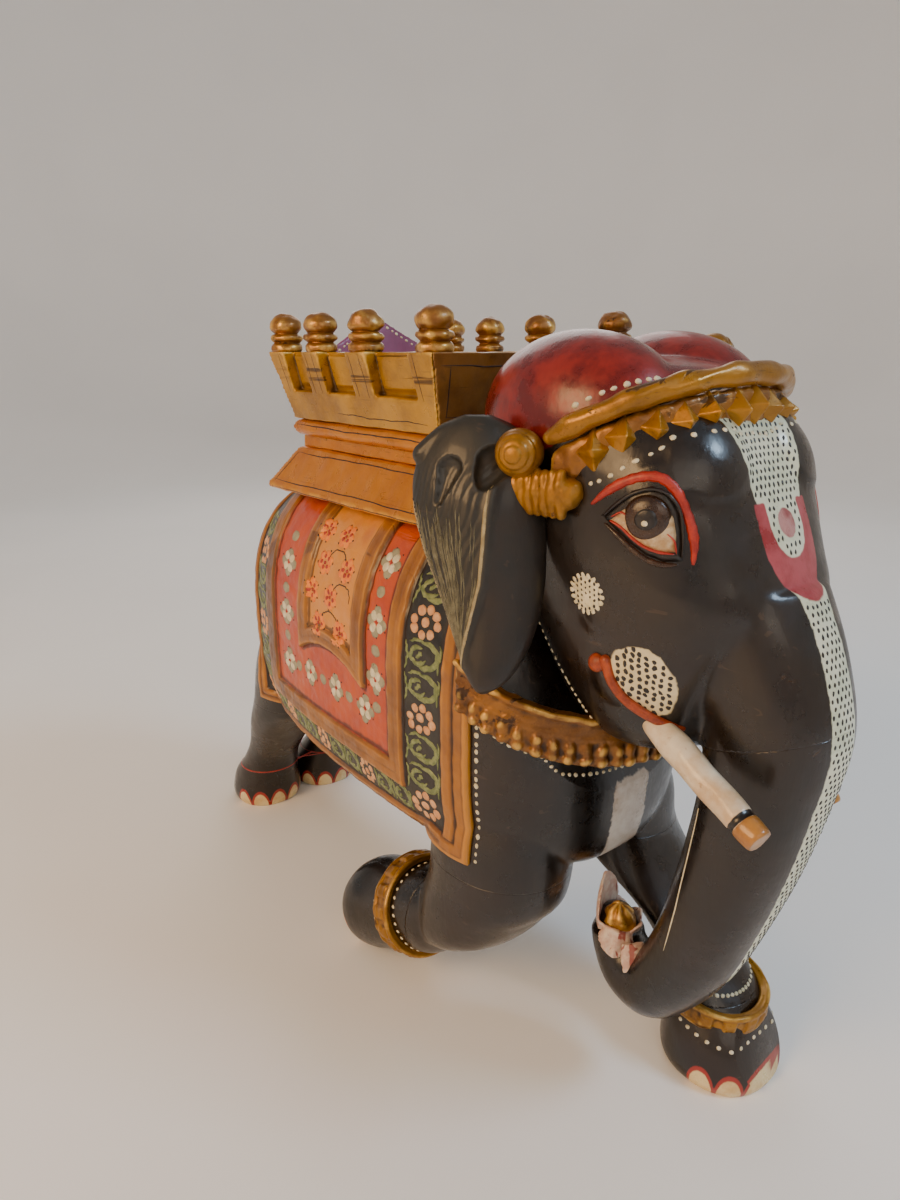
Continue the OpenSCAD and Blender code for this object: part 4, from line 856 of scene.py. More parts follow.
def ring_tube(P, r, n=10):
    m = len(P); V = []; F = []; T = np.roll(P, -1, 0) - np.roll(P, 1, 0); T /= np.linalg.norm(T, axis=1)[:, None]
    th = np.arange(n) * 2 * math.pi / n
    for i in range(m):
        U = np.array([0, 0, 1.0]) if abs(T[i, 2]) < 0.9 else np.array([1.0, 0, 0]); W = np.cross(T[i], U); W /= np.linalg.norm(W); U = np.cross(W, T[i])
        V += [P[i] + r * (math.cos(t) * W + math.sin(t) * U) for t in th]
    for i in range(m):
        for j in range(n):
            a = i * n + j; b = i * n + (j + 1) % n; c = ((i + 1) % m) * n
            F.append([a, b, c + (j + 1) % n, c + j])
    return new_obj("rt", np.array(V), F)
def pyramid_block(p, o_, w, h, t):
    s = np.cross([0, 0, 1.0], o_); V = []
    for d_, k in ((-2.0, 1.0), (t * 0.75, 0.95), (t, 0.62)):
        for (a, b) in ((-1, -1), (1, -1), (1, 1), (-1, 1)): V.append(p + s * a * w * k + np.array([0, 0, b * h * k]) + o_ * d_)
    F = [[3, 2, 1, 0], [8, 9, 10, 11]]
    for l in (0, 4):
        for i in range(4): F.append([l + i, l + (i + 1) % 4, l + 4 + (i + 1) % 4, l + 4 + i])
    return new_obj("pb", np.array(V), F)
ank_r = anklet((-53.3, -48, 50.5), 29.3, 70, "right_anklet", (1.02, 1.0))
ank_l = anklet((43.6, -206.5, 43), 26.4, 10, "left_anklet", (1.0, 1.0), 14, 6.0)

# ------------------------------------------------------------------ howdah
HX = 4.0
def prism(name, P, Q):
    """A closed solid between two matching outlines P and Q."""
    n = len(P); F = [list(range(n))[::-1], list(range(n, 2 * n))]
    for i in range(n): F.append([i, (i + 1) % n, n + (i + 1) % n, n + i])
    return new_obj(name, np.array(list(P) + list(Q), float), F)
def fix_normals(o):
    bm = bmesh.new(); bm.from_mesh(o.data); bmesh.ops.recalc_face_normals(bm, faces=bm.faces[:]); bm.to_mesh(o.data); bm.free(); return o
def carve(o, voxel=1.1, it=2, seed=1, amp=0.25):
    fix_normals(o); o = remesh(o, voxel, it, 0.5)
    v = co_of(o); n_ = nor_of(o); set_co(o, v + n_ * (fnoise(v, 30, seed) * amp + fnoise(v, 11, seed + 3) * amp * 0.5)[:, None]); return o
def mitre(prof, half, a, b, side, gap=0.12):
    """Extrudes an outline of (outward, z) along a side, its ends cut on the mitre through plan points a and b.
    side is right, left, front or rear."""
    a = np.array(a, float); b = np.array(b, float)
    P = []; Q = []
    for (o_, z) in prof:
        if side in ("right", "left"):
            k = a[1] + (o_ - a[0]) * (b[1] - a[1]) / (b[0] - a[0]) - gap
            s = 1 if side == "left" else -1
            P.append((s * o_ + HX, -k, z)); Q.append((s * o_ + HX, k, z))
        else:
            k = a[0] + (o_ - a[1]) * (b[0] - a[0]) / (b[1] - a[1]) - gap
            s = 1 if side == "rear" else -1
            P.append((-k + HX, s * o_, z)); Q.append((k + HX, s * o_, z))
    return prism(side, P, Q)
seat = 309.4
SK = {}
for sd in ("right", "left", "front", "rear"):
    f_, t_ = (75, 61) if sd in ("right", "left") else (104, 82)
    i_ = 12 if sd in ("right", "left") else 18
    o = mitre([(f_, seat), (f_, seat + 3), (t_, 338), (t_ - 12, 338), (t_ - 12, 334), (f_ - i_, seat)], 0, (61, 82), (75, 104), sd)
    o.name = "howdah_skirt_%s_board" % sd
    SK[sd] = carve(o, 1.15, 2, {"right": 1, "left": 2, "front": 3, "rear": 4}[sd], 0.22)
def rollp(x): return [(x - 14, 346)] + [(x - 5.5 + 5.5 * math.cos(math.radians(a)), 351.5 + 5.5 * math.sin(math.radians(a))) for a in range(-90, 91, 15)] + [(x - 14, 357)]
MO = {}
for sd in ("right", "left", "front", "rear"):
    o = mitre(rollp(65 if sd in ("right", "left") else 81), 0, (51, 67), (65, 81), sd); o.name = "howdah_moulding_%s_roll" % sd
    MO[sd] = carve(o, 0.95, 1, 5, 0.2)
def boxm(name, lo, hi):
    (x0, y0, z0), (x1, y1, z1) = lo, hi
    return prism(name, [(x0, y0, z0), (x1, y0, z0), (x1, y1, z0), (x0, y1, z0)], [(x0, y0, z1), (x1, y0, z1), (x1, y1, z1), (x0, y1, z1)])
base = carve(boxm("howdah_base_board", (-58 + HX, -79, 338.1), (58 + HX, 79, 345.9)), 1.2, 1, 6, 0.15)
floor_b = carve(boxm("howdah_floor_board", (-50.6 + HX, -66.6, 346.1), (50.6 + HX, 66.6, 350.9)), 1.1, 1, 7, 0.15)
fl, fe = 12 / 42, 10 / 42
def fx(z): return 65 + fl * z
def fy(z): return 78 + fe * z
WA = {}
def subtract(o, cutters):
    for c in cutters:
        fix_normals(c); fix_normals(o)
        m = o.modifiers.new("b", "BOOLEAN"); m.operation = "DIFFERENCE"; m.object = c; m.solver = "EXACT"
        bake_mods(o); me = c.data; bpy.data.objects.remove(c); bpy.data.meshes.remove(me)
    return o
for sd in ("right", "left", "front", "rear"):
    if sd in ("right", "left"):
        o = mitre([(fx(0), 357.1), (fx(42), 399), (fx(42) - 16, 399), (fx(0) - 14, 357.1)], 0, (65, 78), (77, 88), sd); s = 1 if sd == "left" else -1
        cut_ = []
        for (y0, y1) in [(-67, -25), (-7, 27), (43, 69)]:
            def pr(y, e=0.0): return [(s * (fx(17) - 8 + 1) + HX, y, 374.5), (s * (fx(17) + 6) + HX, y, 374.0), (s * (fx(42) + 6) + HX, y, 404), (s * (fx(42) - 7) + HX, y, 404)]
            cut_.append(prism("c", pr(y0 + 1), pr(y1 - 1)))
        subtract(o, cut_)
        # each bay has a thin raised square on its back and a small sill
        ex = []
        for (y0, y1) in [(-67, -25), (-7, 27), (43, 69)]:
            def pb(y, z0, z1, d0, d1): return [(s * (fx(z0 - 357) - d0) + HX, y, z0), (s * (fx(z0 - 357) - d1) + HX, y, z0), (s * (fx(z1 - 357) - d1) + HX, y, z1), (s * (fx(z1 - 357) - d0) + HX, y, z1)]
            ex.append(prism("e", pb(y0 + 6.5, 379.5, 396.5, 9.5, 6.1), pb(y1 - 3.5, 379.5, 396.5, 9.5, 6.1)))
            ex.append(prism("e", pb(y0 + 0.5, 372, 375.4, 9, 1.2), pb(y1 - 0.5, 372, 375.4, 9, 1.2)))
        for e in ex: fix_normals(e)
        o = join("howdah_wall_%s_carved" % sd, [o] + ex)
    else:
        o = mitre([(fy(0), 357.1), (fy(42), 399), (fy(42) - 12, 399), (fy(0) - 11, 357.1)], 0, (65, 78), (77, 88), sd); o.name = "howdah_wall_%s_carved" % sd
    WA[sd] = carve(o, 0.85, 1, {"right": 11, "left": 12, "front": 13, "rear": 14}[sd], 0.2)
bp = [(-44, 2), (44, 2), (50, 44), (0, 72), (-50, 44)]
def bk(u, w, t):
    c, s = math.cos(math.radians(17)), math.sin(math.radians(17))
    y = -5 + t; z = w
    return (u + HX, 63 + y * c + z * s, 351 + -y * s + z * c)
back = carve(prism("howdah_backrest_board", [bk(u, w_, -2.4) for u, w_ in bp], [bk(u, w_, 2.4) for u, w_ in bp]), 0.9, 1, 15, 0.15)
v = co_of(back)
def finial(x, y, seed, name):
    r = 10.0
    prof = [(0.0, 9.2), (1.2, 9.9), (3.4, 9.6), (4.8, 8.1), (5.4, 7.3), (6.1, 8.3), (7.6, 10.0), (9.4, 9.7), (10.4, 8.4), (10.9, 7.4), (11.5, 8.2), (13.6, 9.9), (16.0, 10.0), (18.6, 9.0), (20.8, 7.0), (22.2, 4.4), (22.9, 1.6), (23.0, 0.2)]
    prof = [(-1.2, 8.6)] + prof
    P = spline(np.array(prof, float), 90); R = []
    a = np.linspace(0, 2 * math.pi, 40, endpoint=False)
    for z, q in P: R.append(np.c_[x + q * np.cos(a) * 1.0, y + q * np.sin(a), np.full(40, 399.0 + z)])
    o = skin(name, np.array(R)); v = co_of(o); n_ = nor_of(o)
    set_co(o, v + n_ * (fnoise(v + seed * 31, 9, seed) * 0.32 + fnoise(v + seed * 17, 4.5, seed + 2) * 0.12)[:, None]); return o
FIN_R = []; FIN_L = []
for k, y in enumerate((-78, -15, 35, 79)):
    FIN_R.append(finial(-67.5 + HX, y, k + 1, "f")); FIN_L.append(finial(67.5 + HX, y, k + 6, "f"))
fin_r = join("finials_right_turned", FIN_R); fin_l = join("finials_left_turned", FIN_L)

# ------------------------------------------------------------------ saddle cloth, carved in relief on both flanks
M_cloth = Mat("saddle_cloth_paint", coat=0.2, coat_rough=0.15)
def cloth_colour(m):
    wob = m.math("MULTIPLY", m.math("SUBTRACT", m.noise(160, 2, 0.5), 0.5), 1.0)
    def ge(nm, at_=0.0): return m.step(m.math("ADD", m.at(nm), wob), at_ - 0.22, at_ + 0.22)
    big = m.noise(30, 4, 0.6)
    gold = m.mix(m.step(big, 0.3, 0.7), rgb("#7e4c06"), rgb("#a66a0c"))
    ln = m.step(m.noise(95, 4, 0.6, m.vec((1, 0.05, 0.05)), 0.5), 0.60, 0.65)
    gold = m.mix(m.math("MULTIPLY", ln, 0.6), gold, rgb("#3a1d07"))
    gold = m.mix(m.math("MULTIPLY", m.at("edge"), 0.75), gold, rgb("#2a1204"))
    # painted highlight: convex ridges of the gold frames lighten
    gold = m.mix(m.step(m.at("cv"), 0.10, 0.3, 0, 0.5), gold, rgb("#d8942c"))
    black = m.mix(m.step(m.noise(70, 4, 0.6), 0.4, 0.7), rgb("#17130d"), rgb("#26241a"))
    red = m.mix(m.step(m.noise(45, 5, 0.65), 0.35, 0.68), rgb("#ac3800"), rgb("#c04c00"))
    red = m.mix(m.step(m.noise(26, 4, 0.6), 0.55, 0.75, 0, 0.5), red, rgb("#c65f0c"))
    peach = m.mix(m.step(m.noise(52, 5, 0.6), 0.35, 0.65), rgb("#cf8c3c"), rgb("#d28a20"))
    peach = m.mix(m.step(m.noise(36, 3, 0.5), 0.56, 0.7, 0, 0.5), peach, rgb("#b8642a"))
    c = gold
    c = m.mix(ge("b0"), c, black)
    c = m.mix(ge("a1"), c, gold)
    c = m.mix(ge("b1"), c, red)
    c = m.mix(ge("a2"), c, gold)
    c = m.mix(ge("b2"), c, peach)
    # painted shade: hollows of the relief darken to dark brown
    c = m.mix(m.step(m.at("cv"), -0.02, -0.16, 0, 0.75), c, rgb("#1f0e05"))
    c = m.mix(m.step(m.noise(38, 6, 0.72), 0.6, 0.8, 0, 0.35), c, rgb("#3a1c0a"))
    # the sides of the cloth itself are gold brown
    m.color(c)
    m.rough(m.step(m.noise(90, 4, 0.6), 0.3, 0.7, 0.28, 0.5))
    m.bump(m.math("SUBTRACT", m.noise(130, 4, 0.6), m.math("MULTIPLY", ln, 0.3)), 0.0008, 0.6)
cloth_colour(M_cloth)
S_body = Surf(torso, right_foreleg, left_foreleg, right_hind, left_hind)
# nested frames: front edge and its width, rear edge and its width, hem and its width
CY0, CY1 = -128.0, 148.0
FRAMES = [(CY0, 18, CY1, 11, 135, 11), (-78, 13, 101, 17, 165, 14), (-41, 13, 40, 13, 216, 12)]
def frame_d(k, y, z):
    y0, wf, y1, wr, zl, wb = FRAMES[k]
    if k == 2: zl = zl + 10 * np.clip(1 - ((y - 2) / 36) ** 2, -0.3, 1)
    return np.minimum(np.minimum(y - y0, y1 - y), z - zl), np.minimum(np.minimum(y - y0 - wf, y1 - wr - y), z - zl - wb)
def flank(side, name):
    ny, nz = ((262, 186))
    Y = np.linspace(CY0, CY1, ny); R_ = []
    prof = []
    G = np.zeros((nz, ny, 3)); N = np.zeros((nz, ny, 3)); ok = np.ones((nz, ny), bool)
    for i, y in enumerate(Y):
        # a fan of rays from the body's axis, spaced evenly along the skin between the seat and the hem
        az = np.linspace(math.radians(-74), math.radians(66), 90); pts = []
        for a in az:
            d = np.array([side * math.cos(a), 0, math.sin(a)]); o = np.array([0, y, 228.0])
            # cast from outside inwards
            h = S_body.hit(o + d * 170, -d, 170)
            pts.append(h[0] if h is not None else o + d * 60)
        pts = np.array(pts); z = pts[:, 2]
        lo_z, hi_z = 135.0, 306.0
        L = np.r_[0, np.cumsum(np.linalg.norm(np.diff(pts, axis=0), axis=1))]
        k0 = np.interp(lo_z, z, L) if (np.diff(z) > 0).all() else np.interp(lo_z, np.maximum.accumulate(z), L)
        k1 = np.interp(hi_z, np.maximum.accumulate(z), L)
        s = np.linspace(k0, k1, nz)
        for c_ in range(3): G[:, i, c_] = np.interp(s, L, pts[:, c_])
    # smooth the sampled skin a little, then take normals from the grid
    for _ in range(3):
        G[1:-1, 1:-1] = 0.5 * G[1:-1, 1:-1] + 0.125 * (G[:-2, 1:-1] + G[2:, 1:-1] + G[1:-1, :-2] + G[1:-1, 2:])
    gy = np.gradient(G, axis=1); gz = np.gradient(G, axis=0); N = np.cross(gy, gz) * (1 if side > 0 else -1)
    N /= np.linalg.norm(N, axis=2)[..., None] + 1e-9
    y, z = G[..., 1], G[..., 2]
    sg = np.cumsum(np.linalg.norm(np.diff(G, axis=0, prepend=G[:1]), axis=2), axis=0)   # distance up from the hem
    zz = 135 + sg
    a0, b0 = frame_d(0, y, zz); a1, b1 = frame_d(1, y, zz); a2, b2 = frame_d(2, y, zz)
    # relief: an outer border of two strips, a sunk black band, raised inner frames
    def rim(a, b, h): return h * np.clip(np.minimum(a / 0.9, -b / 0.9), 0, 1)
    def groove(x, w, dep): return dep * np.exp(-(x / w) ** 2)
    mid0 = np.where(y < CY0 + 20, a0 - 9.5, a0 - 5.5)
    H = 2.0 + rim(a0, b0, 1.7) - groove(mid0, 0.6, 1.0) + 0.5 * np.clip(-b0 / 4, 0, 1) * (b0 > -8)
    H += rim(a1, b1, 2.1) + rim(a2, b2, 2.4)
    H -= groove(a1 + b1, 0.9, 0.4) + groove(a2 + b2, 0.9, 0.35) + groove(b0 - 0.6, 0.5, 0.5) + groove(a1 + 0.6, 0.5, 0.5) + groove(a2 + 0.6, 0.6, 0.6)
    edge = groove(mid0, 0.8, 1) + groove(a1 + b1, 1.1, 0.55) + groove(a2 + b2, 1.1, 0.4) + groove(a1 + 0.4, 0.6, 1) + groove(a2 + 0.5, 0.8, 1) + groove(b0 - 0.4, 0.6, 1) + groove(b1 - 0.4, 0.5, 0.8) + groove(b2 - 0.4, 0.5, 0.8) + groove(a0 - 3.0, 0.45, 0.7) * (y < CY0 + 20)
    V = G.reshape(-1, 3)
    H += (fnoise(V, 15, 2) * 0.18 + fnoise(V, 6, 4) * 0.08).reshape(H.shape)
    top = G + N * H[..., None]
    bot = G - N * 1.2
    m, n = nz, ny; K = m * n
    F = []
    for j in range(m - 1):
        for i in range(n - 1):
            a = j * n + i
            F.append([a, a + 1, a + n + 1, a + n]); F.append([K + a, K + a + n, K + a + n + 1, K + a + 1])
    for i in range(n - 1):
        F.append([i, K + i, K + i + 1, i + 1]); a = (m - 1) * n + i; F.append([a, a + 1, K + a + 1, K + a])
    for j in range(m - 1):
        a = j * n; F.append([a, a + n, K + a + n, K + a]); a = j * n + n - 1; F.append([a, K + a, K + a + n, a + n])
    o = new_obj(name, np.concatenate([top.reshape(-1, 3), bot.reshape(-1, 3)]), F)
    fix_normals(o)
    for nm, arr in (("b0", b0), ("a1", a1), ("b1", b1), ("a2", a2), ("b2", b2), ("edge", np.clip(edge, 0, 1))):
        dz(o, nm, np.concatenate([arr.ravel(), arr.ravel()]))
    return o, (Y, zz, G, N, top)
cloth_r, GR = flank(-1, "saddle_cloth_right")
cloth_l, GL = flank(1, "saddle_cloth_left")
S_cr, S_cl = Surf(cloth_r), Surf(cloth_l)

# ------------------------------------------------------------------ painted motifs
peach_d, cream_d, green_d, blue_d, red_d, orfl_d, line_d, dash_d = (Dabs() for _ in range(8))
def on_cloth(G, y, s):
    """A point and its normal on the cloth from y and the distance s above the hem."""
    Y, zz, P, N, T = G
    i = int(np.clip(np.searchsorted(Y, y), 1, len(Y) - 1)); j = int(np.clip(np.searchsorted(zz[:, i] - 135, s), 0, zz.shape[0] - 1))
    return T[j, i], N[j, i]
def motif_kit(G, S):
    def P(y, s): return on_cloth(G, y, s)
    def dab(D, y, s, ry, rz, ang=0.0, h=0.5, seg=12, wob=0.08):
        p, n = P(y, s); a = math.radians(ang)
        p2, _ = P(y + 1.5 * math.sin(a), s + 1.5 * math.cos(a))
        al = p2 - p
        if np.linalg.norm(al) < 0.2: al = np.array([0, math.sin(a), math.cos(a)])
        D.dab(S, p, n, ry, rz, al, h, seg, wob)
    def stroke(D, pts, w, h=0.4):
        Q = np.array([P(*q)[0] for q in pts]); D.stroke(S, Q, w, h)
    return dab, stroke
def flower7(dab, y, s, ry, rs):
    dab(peach_d, y, s, ry * 0.25, rs * 0.30)
    for k in range(8):
        a = 2 * math.pi * k / 8 + 0.2
        dab(peach_d, y + ry * 0.70 * math.cos(a), s + rs * 0.74 * math.sin(a), ry * 0.235 * rng.uniform(0.9, 1.1), rs * 0.285 * rng.uniform(0.9, 1.1), 0)
def scroll(dab, stroke, y, s, ry, rs, flip=1):
    """A double hook of green paint that fills one step of the band."""
    def L(pts, w): stroke(green_d, [(y + flip * ry * u, s + rs * v_) for u, v_ in pts], w)
    w = min(ry, rs) * 0.40
    L([(-0.12 + 0.78 * math.cos(t), 0.05 + 0.80 * math.sin(t)) for t in np.linspace(1.35, 5.2, 20)], w)
    L([(0.15 + 0.46 * math.cos(t), -0.02 + 0.52 * math.sin(t)) for t in np.linspace(2.1, -2.7, 20)], w * 0.8)
    L([(0.12 - 0.16 * t, 0.02 + 0.12 * math.sin(t * 3)) for t in np.linspace(-1, 1, 7)], w * 0.7)
    L([(0.93 - 0.12 * math.sin(t * math.pi), -0.9 + 1.8 * t) for t in np.linspace(0, 1, 12)], w * 0.5)
    L([(-0.98 + 0.05 * math.sin(t * math.pi * 2), -0.9 + 1.8 * t) for t in np.linspace(0, 1, 12)], w * 0.45)
    L([(-0.1 + 0.8 * t, 0.86 + 0.10 * math.sin(t * 3.1)) for t in np.linspace(0, 1, 8)], w * 0.55)
def red_flower(dab, y, s, ky, ks):
    for a in (0, 90, 180, 270):
        a_ = math.radians(a + rng.uniform(-6, 6)); dab(blue_d, y + 5.6 * ky * math.cos(a_), s + 6.2 * ks * math.sin(a_), 3.7 * ky, 3.5 * ks, 0, 0.3)
    for a in (45, 135, 225, 315):
        a_ = math.radians(a + rng.uniform(-6, 6)); dab(cream_d, y + 4.3 * ky * math.cos(a_), s + 4.3 * ks * math.sin(a_), 3.1 * ky, 3.2 * ks, 0, 0.6)
    dab(red_d, y, s, 1.0 * ky, 1.0 * ks, 0, 0.7, 8)
    for a in range(0, 360, 60):
        a_ = math.radians(a + 20); dab(line_d, y + 9.0 * ky * math.cos(a_), s + 9.2 * ks * math.sin(a_), 0.6, 0.6, 0, 0.35, 7)
def do_cloth(G, S, side):
    dab, stroke = motif_kit(G, S)
    smax = G[1][-1].min() - 135 - 2
    yf, yr, sb = (-110 - 78) / 2, (101 + 137) / 2, (11 + 30) / 2
    k = 0
    for s in np.arange(sb + 0.5, smax - 4, 18.0):
        for yc, ry, f in ((yf, 14.0, 1), (yr, 15.5, -1)):
            if k % 3 == 0: flower7(dab, yc, s, ry * 0.9, 9.4)
            else: scroll(dab, stroke, yc, s, ry, 8.6, f)
        k += 1
    k = 1
    for y in np.arange(yf + 22, yr - 12, 18.2):
        if k % 3 == 0: flower7(dab, y, sb, 8.6, 8.6)
        else: scroll(dab, stroke, y, sb, 8.4, 8.2, 1)
        k += 1
    # vermilion field: cream flowers with grey-blue blobs between
    ya, yb, sc = (-65 - 41) / 2, (40 + 84) / 2, (44 + 81) / 2 + 3
    path = np.array([(ya, t) for t in np.arange(smax - 6, sc, -1)] + [(y, sc - 2 + 3.0 * math.sin((y - ya) / (yb - ya) * math.pi)) for y in np.arange(ya, yb, 1)] + [(yb, t) for t in np.arange(sc, smax - 6, 1)])
    n = 0
    for q in range(5, len(path) - 2, 17):
        y, s = path[q]; kx = 1.35 if y > yb - 2 else 1.0
        if n % 2 == 0: red_flower(dab, y, s, kx, 0.98)
        else: dab(blue_d, y + rng.uniform(-1, 1), s, 4.2 * kx, 3.7, 0, 0.35)
        n += 1
    # centre panel: orange flowers with red petals, parted by black waves
    for j, s in enumerate(np.arange(104, smax + 2, 19)):
        for y in ((-14, 12) if j % 2 == 0 else (-1, 22)):
            if s > smax - 3: continue
            for a in range(0, 360, 60):
                a_ = math.radians(a + j * 20); dab(orfl_d, y + 5.2 * math.cos(a_), s + 5.0 * math.sin(a_), 3.1, 3.1, 0, 0.3)
            for a in range(30, 390, 72):
                a_ = math.radians(a + j * 20); dab(red_d, y + 3.9 * math.cos(a_), s + 3.6 * math.sin(a_), 1.6, 1.8, 90 - a, 0.5, 9)
            dab(red_d, y, s, 1.3, 1.3, 0, 0.6, 8)
            for a in range(0, 360, 60):
                a_ = math.radians(a + j * 20 + 12); dab(line_d, y + 8.2 * math.cos(a_), s + 7.8 * math.sin(a_), 0.6, 0.9, 90 - a, 0.35, 7)
        if s < smax - 8:
            yy = -1 if j % 2 == 0 else -13
            stroke(line_d, [(yy + 11.5 * math.cos(t) * 0.85, s + 9 * abs(math.sin(t)) ** 0.7 + 1.0) for t in np.linspace(0, math.pi, 22)], 0.8, 0.3)
    # dashes of cream just outside the front edge
    P_ = []
    for s in np.arange(1, smax + 3, 1.5):
        p, nn = on_cloth(G, CY0 + 0.5, s); P_.append(p + np.array([0, -5.0, 0]))
    cream_d.dots(S_body, P_, 5.0, 1.25)
do_cloth(GR, S_cr, -1); do_cloth(GL, S_cl, 1)

# cream dots that edge the band and collar
cream2 = Dabs(); S_dome = Surf(head)
S_trunk = Surf(trunk, head); S_ear_r, S_ear_l = Surf(ear_r), Surf(ear_l)
above = np.array([p + nrm[i] * -2 + [0, 2.5, 9.0] for i, p in enumerate(TOP)])
cream2.dots(S_dome, above[6:-6], 5.6, 1.45, jit=0.12)
below = np.array([p - nrm[i] * 1.5 + [0, -1, -13.0 - 1.2 * abs(math.sin(i * 0.3))] for i, p in enumerate(LOW)])
cream2.dots(S_dome, below[10:-10], 5.0, 1.2, jit=0.12)
cream2.dots(S_body, [p + [0, -2.0 if 0.2 < t < 0.8 else 0, -17.5] for p, t in zip(CP, tc_)], 5.0, 1.25)
cream2.dots(S_dome, [p + [0, -1, 17.5] for p, t in zip(CP, tc_)], 5.0, 1.0)

# ---- eyes and cheeks on both sides of the head
eye_w, eye_b, iris_d, glint_d, brow_d, lace_d, lip_d = (Dabs() for _ in range(7))
def on_head(s, y, z):
    """The point and normal of the head's flank at height z and depth y, seen from outside."""
    h = S_dome.hit((s * 160, y - 40, z), (-s * 1.0, 0.25, 0), 300)
    return h if h is not None else (np.array([s * 50, y, z]), np.array([s, 0, 0]))
def flat_patch(D, c, n, tan, pts, h=0.6, S=None):
    """A patch of paint with an outline given in mm round c, conforming to the head."""
    n = n / np.linalg.norm(n); a = tan - n * (tan @ n); a /= np.linalg.norm(a); b = np.cross(n, a)
    D.dab(S or S_dome, c, n, 1, 1, a, h, outline=[(u, w) for (u, w) in pts])

def poly_sd(P, poly):
    """Signed distance of 2-D points to a closed outline, above zero inside."""
    P = np.asarray(P, float); A = np.array(poly, float); B_ = np.roll(A, -1, 0)
    d = np.full(len(P), 1e9); ins = np.zeros(len(P), bool)
    for a, b in zip(A, B_):
        e = b - a; w_ = P - a; t = np.clip((w_ @ e) / (e @ e), 0, 1)[:, None]
        d = np.minimum(d, np.linalg.norm(w_ - e * t, axis=1))
        c = (a[1] > P[:, 1]) != (b[1] > P[:, 1])
        with np.errstate(divide="ignore", invalid="ignore"):
            x = (b[0] - a[0]) * (P[:, 1] - a[1]) / (b[1] - a[1]) + a[0]
        ins ^= c & (P[:, 0] < x)
    return np.where(ins, d, -d)
HV = co_of(head)
def side_frame(s, c, n):
    """Centre, forward and up directions on one cheek."""
    c = np.array(c, float) * [-s, 1, 1]; n = np.array(n, float) * [-s, 1, 1]; n /= np.linalg.norm(n)
    up = np.array([0, 0, 1.0]) - n * n[2]; up /= np.linalg.norm(up); fw = np.cross(n, up) * (1 if s > 0 else -1)
    return c, n, fw, up
mouth = [(-15.8, 5.2), (-12.7, 11.8), (-5.4, 15.6), (1.7, 15.8), (7.8, 12.1), (13.5, 3.4), (14.9, -6), (12.2, -16.5), (5.3, -19.6), (-4.8, -13), (-11.8, -5.6)]
zm = np.full(len(HV), -20.0); ze = np.full(len(HV), -20.0)
lips = []
brown_d, scl_d = Dabs(), Dabs()
